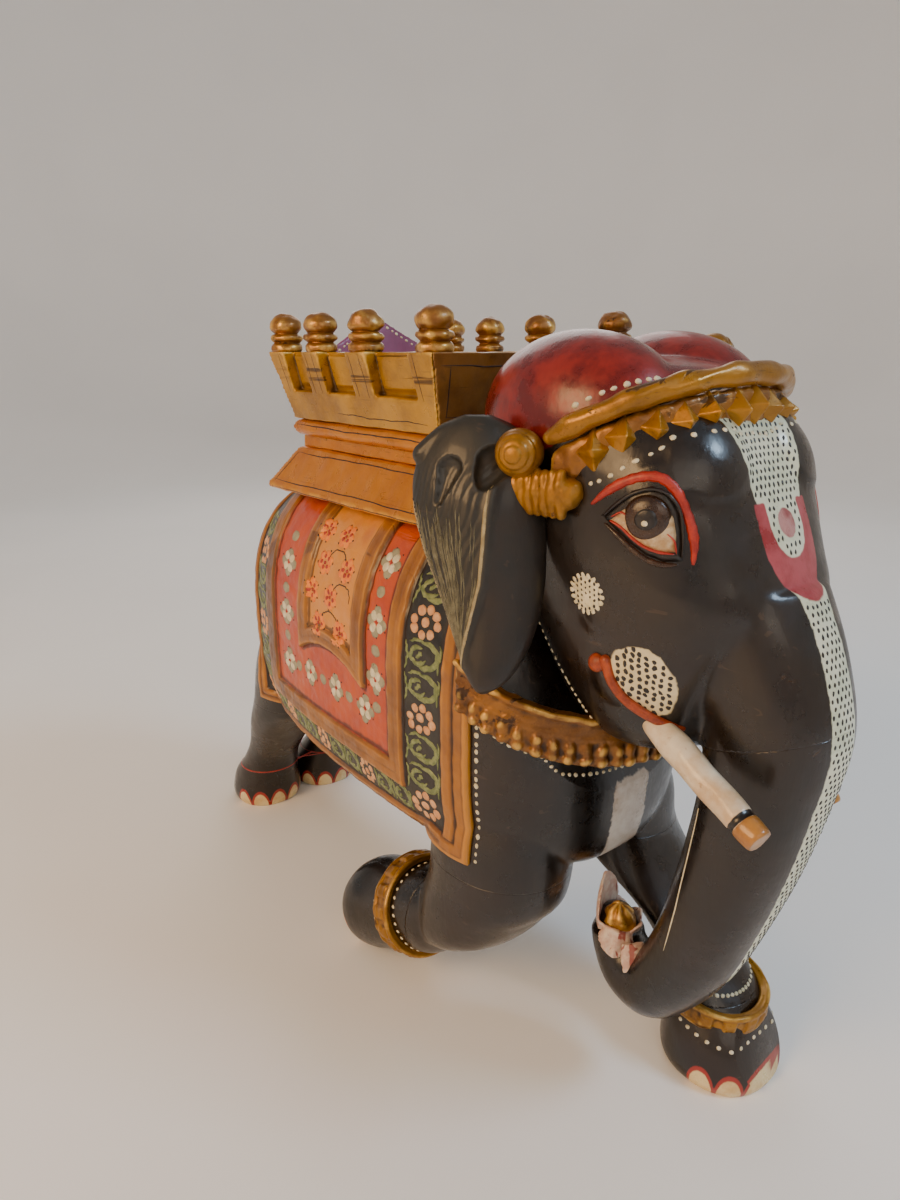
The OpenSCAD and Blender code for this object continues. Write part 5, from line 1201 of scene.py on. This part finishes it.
for s in (-1, 1):
    # mouth patch
    c, n, fw, up = side_frame(s, (-52.8, -212.3, 262.3), (-0.88, -0.44, -0.12))
    q = HV - c; f = poly_sd(np.c_[q @ fw, q @ up], mouth); near = (np.linalg.norm(q, axis=1) < 34) & (HV[:, 0] * s > 0)
    zm = np.where(near, np.maximum(zm, f), zm)
    for i, u in enumerate(np.arange(-15, 16, 3.3)):
        for w_ in np.arange(-20, 17, 3.3):
            uu = u + rng.uniform(-0.6, 0.6); ww = w_ + (i % 2) * 1.75 + rng.uniform(-0.6, 0.6)
            if poly_sd(np.array([[uu, ww]]), mouth)[0] < 1.0: continue
            h = S_dome.hit(c + fw * uu + up * ww + n * 30, -n, 60)
            if h is not None: dash_d.dab(S_dome, h[0], h[1], rng.uniform(0.8, 1.2), rng.uniform(1.15, 1.6), up * 0.8 - fw * rng.uniform(0, 0.7), 0.35, 7, 0.22)
    # lip ridge with its round end
    P = np.array([(-58.5, -195.5, 268), (-58.6, -200, 259), (-54.5, -206.0, 250.5), (-47, -213.8, 243.4), (-39, -219.3, 238.8), (-33.5, -221.5, 236.8)]) * [-s, 1, 1]
    lp = tube("lip", spline(P, 60), np.interp(np.arange(60), [0, 10, 40, 59], [2.6, 2.4, 2.3, 1.3]), 18)
    lips.append(remesh(join("lip_ridge_" + ("right" if s < 0 else "left"), [lp, ball("lk", np.array([-58.2, -190.5, 265.2]) * [-s, 1, 1], (3.8, 4.4, 4.6), 28)]), 0.6, 2))
    # lace medallion on the cheek
    c, n, fw, up = side_frame(s, (-62.5, -186, 297.4), (-0.99, -0.06, -0.05))
    for a in np.linspace(0, 2 * math.pi, 18, endpoint=False):
        h = S_dome.hit(c + fw * 8.3 * math.cos(a) + up * 8.3 * math.sin(a) + n * 20, -n, 40)
        if h is not None: cream2.dab(S_dome, h[0], h[1], 1.1, 1.5, fw * math.cos(a) + up * math.sin(a), 0.35, 8, 0.2)
    h = S_dome.hit(c + n * 20, -n, 40)
    cream2.dab(S_dome, h[0], h[1], 8.0, 8.0, up, 0.30, 36, 0.03)
    k = 0
    for u in np.arange(-7.2, 7.3, 2.35):
        k += 1
        for w_ in np.arange(-7.2, 7.3, 2.5):
            ww = w_ + (k % 2) * 1.05
            if math.hypot(u, ww) > 7.3: continue
            h = S_dome.hit(c + fw * u + up * ww + n * 20, -n, 40)
            if h is not None: dash_d.dab(S_dome, h[0] + h[1] * 0.35, h[1], 0.78, 1.05, up + fw * rng.uniform(-0.6, 0.6), 0.35, 6, 0.2)
    # eye: dark rim, cream corners, brown iris, red lines, arched red brow
    c, n, fw, up = side_frame(s, (-58.0, -213.5, 333.5), (-0.87, -0.48, 0.05))
    h0 = S_dome.hit(c + n * 30, -n, 60); c = h0[0]
    def E(u, w_, lift=0.0):
        h = S_dome.hit(c + fw * u + up * w_ + n * 30, -n, 60)
        p, m_ = h if h is not None else (c + fw * u + up * w_, n)
        return p + m_ * lift, m_
    def ring_patch(D, outl, lift, centre=(0.0, 0.0), rows=5, bulge=0.0):
        """A patch of thick paint that follows the surface, built in rings from its outline to its centre."""
        m_ = len(outl); V = []; F = []
        for r_ in range(rows + 1):
            k_ = 1 - r_ / (rows + 0.0) * 0.999
            for (u, w_) in outl:
                uu, ww = centre[0] + (u - centre[0]) * k_, centre[1] + (w_ - centre[1]) * k_
                V.append(E(uu, ww, (lift if r_ else 0.02) + bulge * (1 - k_ * k_))[0])
        base = [E(u, w_, -0.6)[0] for (u, w_) in outl]; V += base; V.append(E(centre[0], centre[1], -0.6)[0])
        for r_ in range(rows):
            for i in range(m_):
                j = (i + 1) % m_; F.append([r_ * m_ + i, r_ * m_ + j, (r_ + 1) * m_ + j, (r_ + 1) * m_ + i])
        o_ = (rows + 1) * m_; F.append([rows * m_ + i for i in range(m_)])
        for i in range(m_):
            j = (i + 1) % m_; F.append([i, o_ + i, o_ + j, j]); F.append([o_ + i, o_ + m_, o_ + j])
        D.add(V, F)
    almond = np.array([(-18, 0), (-13, 5.2), (-7, 9.6), (0, 11.6), (6, 9.8), (10.5, 3.5), (12.4, -5), (12.8, -13.6), (6.5, -14.3), (0, -12.6), (-6, -9.2), (-12, -4.8)], float)
    al = np.array([almond[int(i)] * (1 - (i % 1)) + almond[(int(i) + 1) % 12] * (i % 1) for i in np.arange(0, 12, 0.25)])
    ring_patch(dash_d, al * [1.13, 1.17] + [0, 0.6], 0.25, (0, -2))
    ring_patch(eye_w, al * [0.93, 0.84] + [0, -0.8], 0.6, (0, -2), bulge=1.2)
    circ = [(-1.0 + 10.0 * math.cos(t), 1.0 + 9.9 * math.sin(t)) for t in np.linspace(0, 2 * math.pi, 40, endpoint=False)]
    ring_patch(iris_d, circ, 1.3, (-1.0, 1.0), bulge=1.5)
    ring_patch(dash_d, [(-1.0 + 5.2 * math.cos(t), 0.8 + 5.2 * math.sin(t)) for t in np.linspace(0, 2 * math.pi, 32, endpoint=False)], 2.7, (-1.0, 0.8), bulge=0.5)
    ring_patch(glint_d, [(-1.2 + 1.7 * math.cos(t), -0.4 + 1.9 * math.sin(t)) for t in np.linspace(0, 2 * math.pi, 20, endpoint=False)], 3.4, (-1.2, -0.4), 3, bulge=0.3)
    
    def line(D, pts, w_, hh, lift=0.0, taper=0.3):
        Q = np.array([E(*q)[0] for q in pts]); D.stroke(S_dome, spline(Q, max(16, len(pts) * 5)), w_, hh, taper=taper)
    line(red_d, [(-16, -1.2), (-11, -3.6), (-6, -7.6), (-1, -10.6), (5, -12.3), (11, -12.6)], 1.5, 2.0)
    line(red_d, [(7.5, -4.5), (10.6, -7.5), (11.8, -12.5)], 0.9, 2.0)
    line(red_d, [(-15.6, 0.4), (-12, 2.6), (-9.4, 2.0)], 0.9, 2.0)
    line(brown_d, [(-18.5, -2.6), (-12, -8.0), (-6, -12.4), (0, -15.8), (6.5, -17.4), (13, -16.8)], 2.6, 1.3, taper=0.2)
    line(dash_d, [(-19, 0.4), (-13.4, 6.2), (-7, 10.8), (0, 12.8), (6.6, 11.0), (11.6, 4.4), (13.6, -5), (14, -14)], 1.6, 2.0, taper=0.2)
    B_ = np.array([(-66, -189, 338), (-63.4, -196, 344.6), (-60, -206, 350.5), (-54.5, -215, 351), (-51.5, -222, 345), (-49, -226.5, 335), (-48, -229, 326), (-49, -230, 317)]) * [-s, 1, 1]
    brow_d.stroke(S_dome, spline(B_, 60), 4.3, 1.3, taper=0.3)
dz(head, "z_mouth", zm)

# dashes along the forehead and trunk stripe
ST_T = Surf(trunk, head)
def tilak(x, z):
    r = 19.0; a = z - 325.0
    dr = min(r - abs(x), 14 - a) if a > 0 else r - math.hypot(x, a * 0.74)
    inn = 12.0 - (math.hypot(x, (a - 5) * 0.85) if a < 5 else abs(x))
    return dr, inn
z = 391.0
row = 0
while z > 103:
    h = ST_T.hit((0, -420, z), (0, 1, 0), 400)
    if h is None: z -= 3; continue
    hw = float(np.interp(z, [60, 110, 160, 205, 250, 290, 310, 335, 360, 385, 395], [5, 7.5, 9, 10, 9.5, 9, 12, 16, 21, 25, 26])) - 1.2
    for x in np.arange(-26, 27, 3.3):
        x = x + (row % 2) * 1.65 + rng.uniform(-0.25, 0.25)
        if abs(x) > hw: continue
        dr, inn = tilak(x, z)
        if dr > -0.8 and not inn > 1.2: continue
        if math.hypot(x, z - 330) < 7.3: continue
        h2 = ST_T.hit((x, -420, z + rng.uniform(-0.3, 0.3)), (0, 1, 0), 400)
        if h2 is None or h2[0][1] > -180: continue
        if z > 350 - (h2[0][1] + 150) * 0.59 - 5.0: continue
        dash_d.dab(ST_T, h2[0], h2[1], rng.uniform(0.62, 0.85), rng.uniform(1.0, 1.35), (rng.uniform(-0.1, 0.35), 0, 1), 0.3, 7, 0.18)
    row += 1
    z -= 3.35 * max(0.35, math.sqrt(max(0.0, 1 - h[1][2] ** 2)))

# hair-like strokes and edge of the ears
hair_d, edge_d = Dabs(), Dabs()
for s, SE in ((-1, S_ear_r), (1, S_ear_l)):
    nn = np.array([s * 0.75, -0.66, 0.0])
    def on_ear(q, z):
        r0_ = np.interp(z, [250, 258, 300, 336, 372], [-150, -151, -154, -152, -148]); r1_ = np.interp(z, EAR[:, 0], EAR[:, 4]); r1_ = max(r1_, r0_ + 1)
        y = r0_ + q * (r1_ - r0_); x = np.interp(z, EAR[:, 0], (EAR[:, 1] + EAR[:, 3]) / 2)
        o_ = np.array([s * x, y, z]) + np.array([s * 1.0, 0, 0]) * 60
        h = SE.hit(o_, (-s, 0, 0), 120)
        return h if h is not None else None
    def run(D, q0, z0, z1, w_, n_=14, dq=0.0, h_=0.3):
        P = []
        for t in np.linspace(0, 1, n_):
            h = on_ear(q0 + dq * t, z0 + (z1 - z0) * t)
            if h is not None: P.append(h[0])
        if len(P) > 4: D.stroke(SE, np.array(P), w_, h_)
    for k in range(150):
        q = rng.uniform(0.06, 0.93); z0 = rng.uniform(268, 334); L = rng.uniform(10, 34)
        run(hair_d, q, z0, max(z0 - L, 258), rng.uniform(0.32, 0.6), 12, rng.uniform(-0.02, 0.05), 0.22)
    run(edge_d, 0.015, 343, 256, 1.9, 40)
    for k in range(46):
        z0 = rng.uniform(262, 334); run(edge_d, rng.uniform(0.93, 0.985), z0, z0 - rng.uniform(3, 7), rng.uniform(0.7, 1.3), 6, 0, 0.25)
    for k in range(40):
        z0 = 260 + k * 1.9; h = on_ear(0.95 + rng.uniform(-0.02, 0.025), z0)
        if h is not None: dash_d.dab(SE, h[0] + h[1] * 0.15, h[1], 0.6, 0.7, (0, 0, 1), 0.3, 6)

# thin cream line down the rear edge of the trunk
P = [ST_T.near(np.array([-26 + (190 - z) * 0.02, np.interp(z, [100, 138, 205], [-215, -222, -228]), z]))[0] for z in np.arange(196, 108, -3)]
cream2.stroke(ST_T, np.array(P), 0.9, 0.3)

# toenails
def nails(ob, cx, cy, R, angs, ax0=0):
    v = co_of(ob); th = np.arctan2(v[:, 1] - cy, v[:, 0] - cx); f = np.full(len(v), -20.0)
    for a in angs:
        d_ = (th - math.radians(a) + math.pi) % (2 * math.pi) - math.pi
        f = np.maximum(f, (1 - np.sqrt((d_ * R / 6.6) ** 2 + (v[:, 2] / 13.0) ** 2)) * 6.6)
    rad = np.hypot(v[:, 0] - cx, v[:, 1] - cy); f = np.where(rad > R * 0.72, f, -20)
    dz(ob, "z_nail", f); dz(ob, "z_nail_red", f + 1.5)
nails(left_forefoot, 42, -214, 32, (196, 224, 252, 280, 308, 336))
nails(right_hind, -30, 230, 29, (200, 232, 264, 296, 328)); nails(left_hind, 30, 230, 29, (212, 244, 276, 308, 340))
v = co_of(right_forefoot); th = np.arctan2(v[:, 2] - 32, v[:, 0] + 56); f = np.full(len(v), -20.0)
for a in (200, 235, 270, 305, 340):
    d_ = (th - math.radians(a) + math.pi) % (2 * math.pi) - math.pi; f = np.maximum(f, (1 - np.sqrt((d_ * 26 / 6.5) ** 2 + ((v[:, 1] - 6) / 9.5) ** 2)) * 6.5)
dz(right_forefoot, "z_nail", f); dz(right_forefoot, "z_nail_red", f + 1.4)
# dots beside the anklets
def ring_dots(S, c, lean, rr, off, n=34):
    M_ = np.array(Matrix.Rotation(math.radians(lean), 3, "X")); 
    for k in range(n):
        a = 2 * math.pi * k / n; p = np.array([rr * math.cos(a), rr * math.sin(a), off]) @ M_.T + np.array(c); o_ = np.array([math.cos(a), math.sin(a), 0]) @ M_.T
        h = S.hit(p + o_ * 14, -o_, 30)
        if h is not None and h[0][2] > 2: cream2.dab(S, h[0], h[1], 1.15, 1.35, np.cross(o_, [0, 0, 1.0]), 0.5, 8)
SF = Surf(left_forefoot, left_foreleg, right_forefoot, right_foreleg)
ring_dots(SF, (43.6, -206.5, 43), 10, 27.5, -9.6); ring_dots(SF, (43.6, -206.5, 43), 10, 26, 9.6)
ring_dots(SF, (-53.3, -48, 50.5), 70, 29, -10.8); ring_dots(SF, (-53.3, -48, 50.5), 70, 29, 10.8)
ringr = Dabs(); S_h = Surf(right_hind, left_hind)
for s in (-1, 1):
    P = []
    for a in np.linspace(0, 2 * math.pi, 60):
        o_ = np.array([math.cos(a), math.sin(a), 0]); h = S_h.hit(np.array([s * 30.5, 221, 37]) + o_ * 60 + [0, 0, 0], -o_, 60)
        if h is not None: P.append(h[0])
    if len(P) > 20: ringr.stroke(S_h, np.array(P), 1.4, 0.3)

# hand-drawn dark lines on the howdah boards, and cream dashes on the backrest
hl = Dabs(); hc = Dabs()
def wobbly(a, b, n_=40, amp=0.5, seed=0):
    t = np.linspace(0, 1, n_)[:, None]; a, b = np.array(a, float), np.array(b, float); r = np.random.RandomState(seed)
    P = a + (b - a) * t; w_ = amp * (np.sin(t * 9 + r.uniform(0, 6)) * 0.5 + np.sin(t * 23 + r.uniform(0, 6)) * 0.3 + np.sin(t * 51 + r.uniform(0, 6)) * 0.15)
    P[:, 2] += w_[:, 0]; return P
S_sk = {k: Surf(o) for k, o in SK.items()}; S_mo = {k: Surf(o) for k, o in MO.items()}; S_wa = {k: Surf(o) for k, o in WA.items()}
def skp(t): return 75 - 14 * t, 104 - 22 * t, 312.4 + 25.6 * t
for s, sd in ((-1, "right"), (1, "left")):
    for t, sh in ((0.13, 2), (0.86, 6)):
        x, y, z = skp(t); hl.stroke(S_sk[sd], wobbly((s * x + HX, -y + sh, z), (s * x + HX, y - sh, z), 60, 0.7, 3), 0.75, 0.12)
    x, y, z = skp(0.86); x2, y2, z2 = skp(0.1)
    for e in (-1, 1): hl.stroke(S_sk[sd], wobbly((s * x + HX, e * (y - 6), z), (s * x2 + HX, e * (y2 - 7), z2), 24, 0.5, 5), 0.75, 0.12)
    hl.stroke(S_sk[sd], wobbly((s * 75.2 + HX, -101, 310.6), (s * 75.2 + HX, 101, 310.6), 60, 0.3, 8), 0.6, 0.12)
    hl.stroke(S_mo[sd], wobbly((s * 66 + HX, -77, 352.5), (s * 66 + HX, 77, 353.5), 60, 0.8, 4), 0.75, 0.12)
    for z, am, a_, b_ in ((362, 0.9, -70, 20),):
        x = fx(z - 357); hl.stroke(S_wa[sd], wobbly((s * (x + 1) + HX, a_, z), (s * (x + 1) + HX, b_, z + 0.8), 50, am, int(z)), 0.6, 0.12)
    for y in (-71.5, -21, -10.5, 31, 39.5, 73):
        hl.stroke(S_wa[sd], wobbly((s * (fx(17) + 1) + HX, y, 374), (s * (fx(41) + 1) + HX, y + 1.2, 398), 18, 0.3, int(y + 99)), 0.5, 0.12)
for s, sd in ((-1, "front"), (1, "rear")):
    for t, sh in ((0.13, 3), (0.86, 6)):
        x, y, z = skp(t); hl.stroke(S_sk[sd], wobbly((-x + sh + HX, s * y, z), (x - sh + HX, s * y, z), 50, 0.7, 13), 0.75, 0.12)
    hl.stroke(S_mo[sd], wobbly((-61 + HX, s * 82, 352.5), (61 + HX, s * 82, 353.5), 50, 0.8, 14), 0.75, 0.12)
    for z in (392, 366): hl.stroke(S_wa[sd], wobbly((-(fx(z - 357) - 5) + HX, s * (fy(z - 357) + 1), z), (fx(z - 357) - 5 + HX, s * (fy(z - 357) + 1), z + 0.6), 50, 0.9, int(z)), 0.8, 0.12)
    for x in (-62, -20, 24, 63): hl.stroke(S_wa[sd], wobbly((x + HX, s * (fy(9) + 1), 366), (x * 1.03 + HX, s * (fy(35) + 1), 392), 18, 0.4, int(x + 200)), 0.7, 0.12)
S_bk = Surf(back)
for (u0, w0), (u1, w1) in (((-50, 44), (0, 72)), ((50, 44), (0, 72))):
    P = []
    for t in np.linspace(0.03, 0.97, 30):
        u, w_ = u0 * 0.93 + (u1 - u0 * 0.93) * t, w0 + (w1 - w0) * t - 3.0; P.append(bk(u, w_, -2.6))
    hc.dots(S_bk, np.array(P), 4.2, 1.0)

# ------------------------------------------------------------------ finishes
M_tusk = Mat("tusk_paint", rough=0.3, coat=0.3, coat_rough=0.12)
_c = M_tusk.mix(M_tusk.step(M_tusk.noise(45, 5, 0.6), 0.35, 0.7), rgb("#e4d9c2"), rgb("#c9a77c"))
_c = M_tusk.mix(M_tusk.step(M_tusk.noise(240, 3, 0.6), 0.62, 0.74, 0, 0.5), _c, rgb("#9a6f45"))
_c = zone("z_ring", "#17100b", None, 0.2, 0.3)(M_tusk, _c); _c = zone("z_cut", "#8a5a24", "#b77e34", 0.2, 0.3)(M_tusk, _c)
M_tusk.color(_c); M_tusk.bump(M_tusk.noise(180, 4), 0.0006, 0.5)

piece(torso, M_hide, "torso", "leg_dowels", "neck_dowels", "tail_dowel", slot="black_lacquer")
piece(right_foreleg, M_hide, "right_foreleg", slot="black_lacquer")
piece(right_forefoot, M_hide, "right_forefoot", slot="black_lacquer")
piece(left_foreleg, M_hide, "left_foreleg", slot="black_lacquer")
piece(left_forefoot, M_hide, "left_forefoot", slot="black_lacquer")
piece(right_hind, M_hide, "right_hind_leg", slot="black_lacquer")
piece(left_hind, M_hide, "left_hind_leg", slot="black_lacquer")
piece(head, M_head, "head", "ear_dowels", slot="black_lacquer")
piece(trunk, M_head, "trunk", "trunk_dowel", slot="black_lacquer")
piece(ear_r, M_ear, "right_ear", slot="ear_grey"); piece(ear_l, M_ear, "left_ear", slot="ear_grey")
piece(band, M_gold, "headband", slot="old_gold"); piece(ledge, M_gold_dark, slot="old_gold"); piece(studs, M_gold, slot="old_gold")
piece(knob_r, M_gold, "right_ear_knob", slot="old_gold"); piece(knob_l, M_gold, "left_ear_knob", slot="old_gold")
piece(block_r, M_gold, slot="old_gold"); piece(block_l, M_gold, slot="old_gold")
piece(collar, M_gold_dark, "bell_collar", slot="old_gold")
piece(tusk_r, M_tusk, "right_tusk", slot="ivory_paint"); piece(tusk_l, M_tusk, "left_tusk", slot="ivory_paint")
piece(tail, M_hide, "tail", slot="black_lacquer")
piece(petals, M_pink, slot="lotus_pink"); piece(bud, M_gold, "trunk_bud", slot="lotus_pink")
piece(ank_r, M_gold, slot="old_gold"); piece(ank_l, M_gold, slot="old_gold")
for sd in ("right", "left", "front", "rear"):
    sx = sd in ("right", "left")
    piece(SK[sd], M_orange_y if sx else M_orange_x, "howdah_skirt_" + sd, body="howdah", slot="bright_gold")
    piece(MO[sd], M_orange_y if sx else M_orange_x, "howdah_moulding_" + sd, body="howdah", slot="bright_gold")
    piece(WA[sd], M_wall_y if sx else M_wall_x, "howdah_wall_" + sd, body="howdah", slot="old_gold")
piece(base, M_orange_y, "howdah_base", body="howdah", slot="bright_gold")
piece(floor_b, M_bare, "howdah_floor", body="howdah", slot="bare_wood")
piece(back, M_purple, "howdah_backrest", body="howdah", slot="purple_paint")
piece(fin_r, M_gold_dark, "finials_right", body="howdah", slot="old_gold"); piece(fin_l, M_gold_dark, "finials_left", body="howdah", slot="old_gold")
pegs = frame["nodes"]["howdah_pegs"]; pegs.data.materials.clear(); pegs.data.materials.append(M_bare.m)
piece(cloth_r, M_cloth, slot="bright_gold"); piece(cloth_l, M_cloth, slot="bright_gold")
for D, nm, mt, sl in ((peach_d, "cloth_petals", M_peach, "ivory_paint"), (cream_d, "cream_dashes", M_dot, "ivory_paint"), (green_d, "cloth_scrolls", M_green, "ivory_paint"), (blue_d, "cloth_blue_blobs", M_blue, "ivory_paint"),
        (red_d, "cloth_red_petals", M_red, "purple_paint"), (orfl_d, "cloth_orange_flowers", M_orange_fl, "bright_gold"), (line_d, "cloth_black_lines", M_dash, "black_lacquer"), (cream2, "cream_dots", M_dot, "ivory_paint"), (dash_d, "stripe_dashes", M_dash, "black_lacquer")):
    D.build(nm, mt, slot=sl)

lip_r, lip_l = lips
piece(lip_r, M_lip, slot="purple_paint"); piece(lip_l, M_lip, slot="purple_paint")
for D, nm, mt, sl in ((eye_w, "eye_whites", M_white, "ivory_paint"), (iris_d, "eye_irises", M_brown_eye, "brown_paint"), (glint_d, "eye_glints", M_dot, "ivory_paint"), (brow_d, "brow_arches", M_red, "purple_paint"),
        (brown_d, "eye_lower_lids", M_brown_eye, "brown_paint"), (hair_d, "ear_hair_strokes", M_hair, "ear_grey"), (edge_d, "ear_cream_edges", M_edge, "ivory_paint"), (ringr, "hind_foot_rings", M_red, "purple_paint")):
    D.build(nm, mt, slot=sl)
hl.build("howdah_drawn_lines", M_line, "howdah", "brown_paint"); hc.build("backrest_dashes", M_dot, "howdah", "ivory_paint")
# ------------------------------------------------------------------ camera, light and floor
for o in list(bpy.data.objects):
    if o.name in ("Cube", "Light", "Camera") and o not in frame["nodes"].values(): bpy.data.objects.remove(o)
cam_d = bpy.data.cameras.new("camera"); cam = bpy.data.objects.new("camera", cam_d); C.objects.link(cam)
cam.location = (-0.325, -0.420 + YM / 1000, 0.400)
cam.rotation_euler = (math.radians(90 - 16.955), 0, -math.radians(38.422))
cam_d.lens = 24.6; cam_d.sensor_width = 36; cam_d.clip_start = 0.01; cam_d.clip_end = 30
bpy.context.scene.camera = cam
# a plain round floor that turns up far from the figure on every side
prof = [(0.4, 0.0), (1.2, 0.0), (2.1, 0.0)] + [(2.1 + 0.9 * math.sin(t), 0.9 - 0.9 * math.cos(t)) for t in np.linspace(0.1, math.pi / 2, 16)] + [(3.0, 2.0)]
V = [(0.0, 0.0, 0.0)] + [(r_ * math.cos(a), r_ * math.sin(a), z) for r_, z in prof for a in np.linspace(0, 2 * math.pi, 96, endpoint=False)]
F = [(0, 1 + k, 1 + (k + 1) % 96) for k in range(96)] + [(1 + i * 96 + j, 1 + (i + 1) * 96 + j, 1 + (i + 1) * 96 + (j + 1) % 96, 1 + i * 96 + (j + 1) % 96) for i in range(len(prof) - 1) for j in range(96)]
me = bpy.data.meshes.new("studio_floor"); me.from_pydata(V, [], F)
for p_ in me.polygons: p_.use_smooth = True
floor = bpy.data.objects.new("studio_floor", me); C.objects.link(floor)
floor.location = (0, 0, 0)
mf = Mat("floor_pale", rough=0.85, spec=0.2)
mf.color(mf.mix(mf.step(mf.noise(3, 3, 0.5), 0.3, 0.7), rgb("#fcfbf9"), rgb("#f9f8f6")))
floor.data.materials.append(mf.m)
def area(name, loc, target, size, power, col):
    l = bpy.data.lights.new(name, "AREA"); l.shape = "RECTANGLE"; l.size, l.size_y = size; l.energy = power; l.color = col
    o = bpy.data.objects.new(name, l); C.objects.link(o); o.location = loc
    o.rotation_euler = (Vector(target) - Vector(loc)).to_track_quat("-Z", "Y").to_euler()
area("key_warm", (-1.5, -0.1, 1.0), (0, 0, 0.2), (0.8, 0.8), 20, (1.0, 0.60, 0.27))
area("front_soft", (-0.7, -1.7, 1.2), (0, -0.1, 0.2), (1.2, 0.9), 5, (1.0, 0.88, 0.74))
area("top_cool", (0.6, -1.2, 1.5), (0, -0.2, 0.3), (0.5, 0.35), 13, (0.55, 0.76, 1.0))
area("back_fill", (1.0, 1.4, 1.3), (0, 0, 0.2), (1.4, 1.2), 9, (1.0, 0.95, 0.9))
w = bpy.data.worlds.new("studio"); bpy.context.scene.world = w; w.use_nodes = True
w.node_tree.nodes["Background"].inputs[0].default_value = (1, 0.99, 0.975, 1); w.node_tree.nodes["Background"].inputs[1].default_value = 0.31

import json
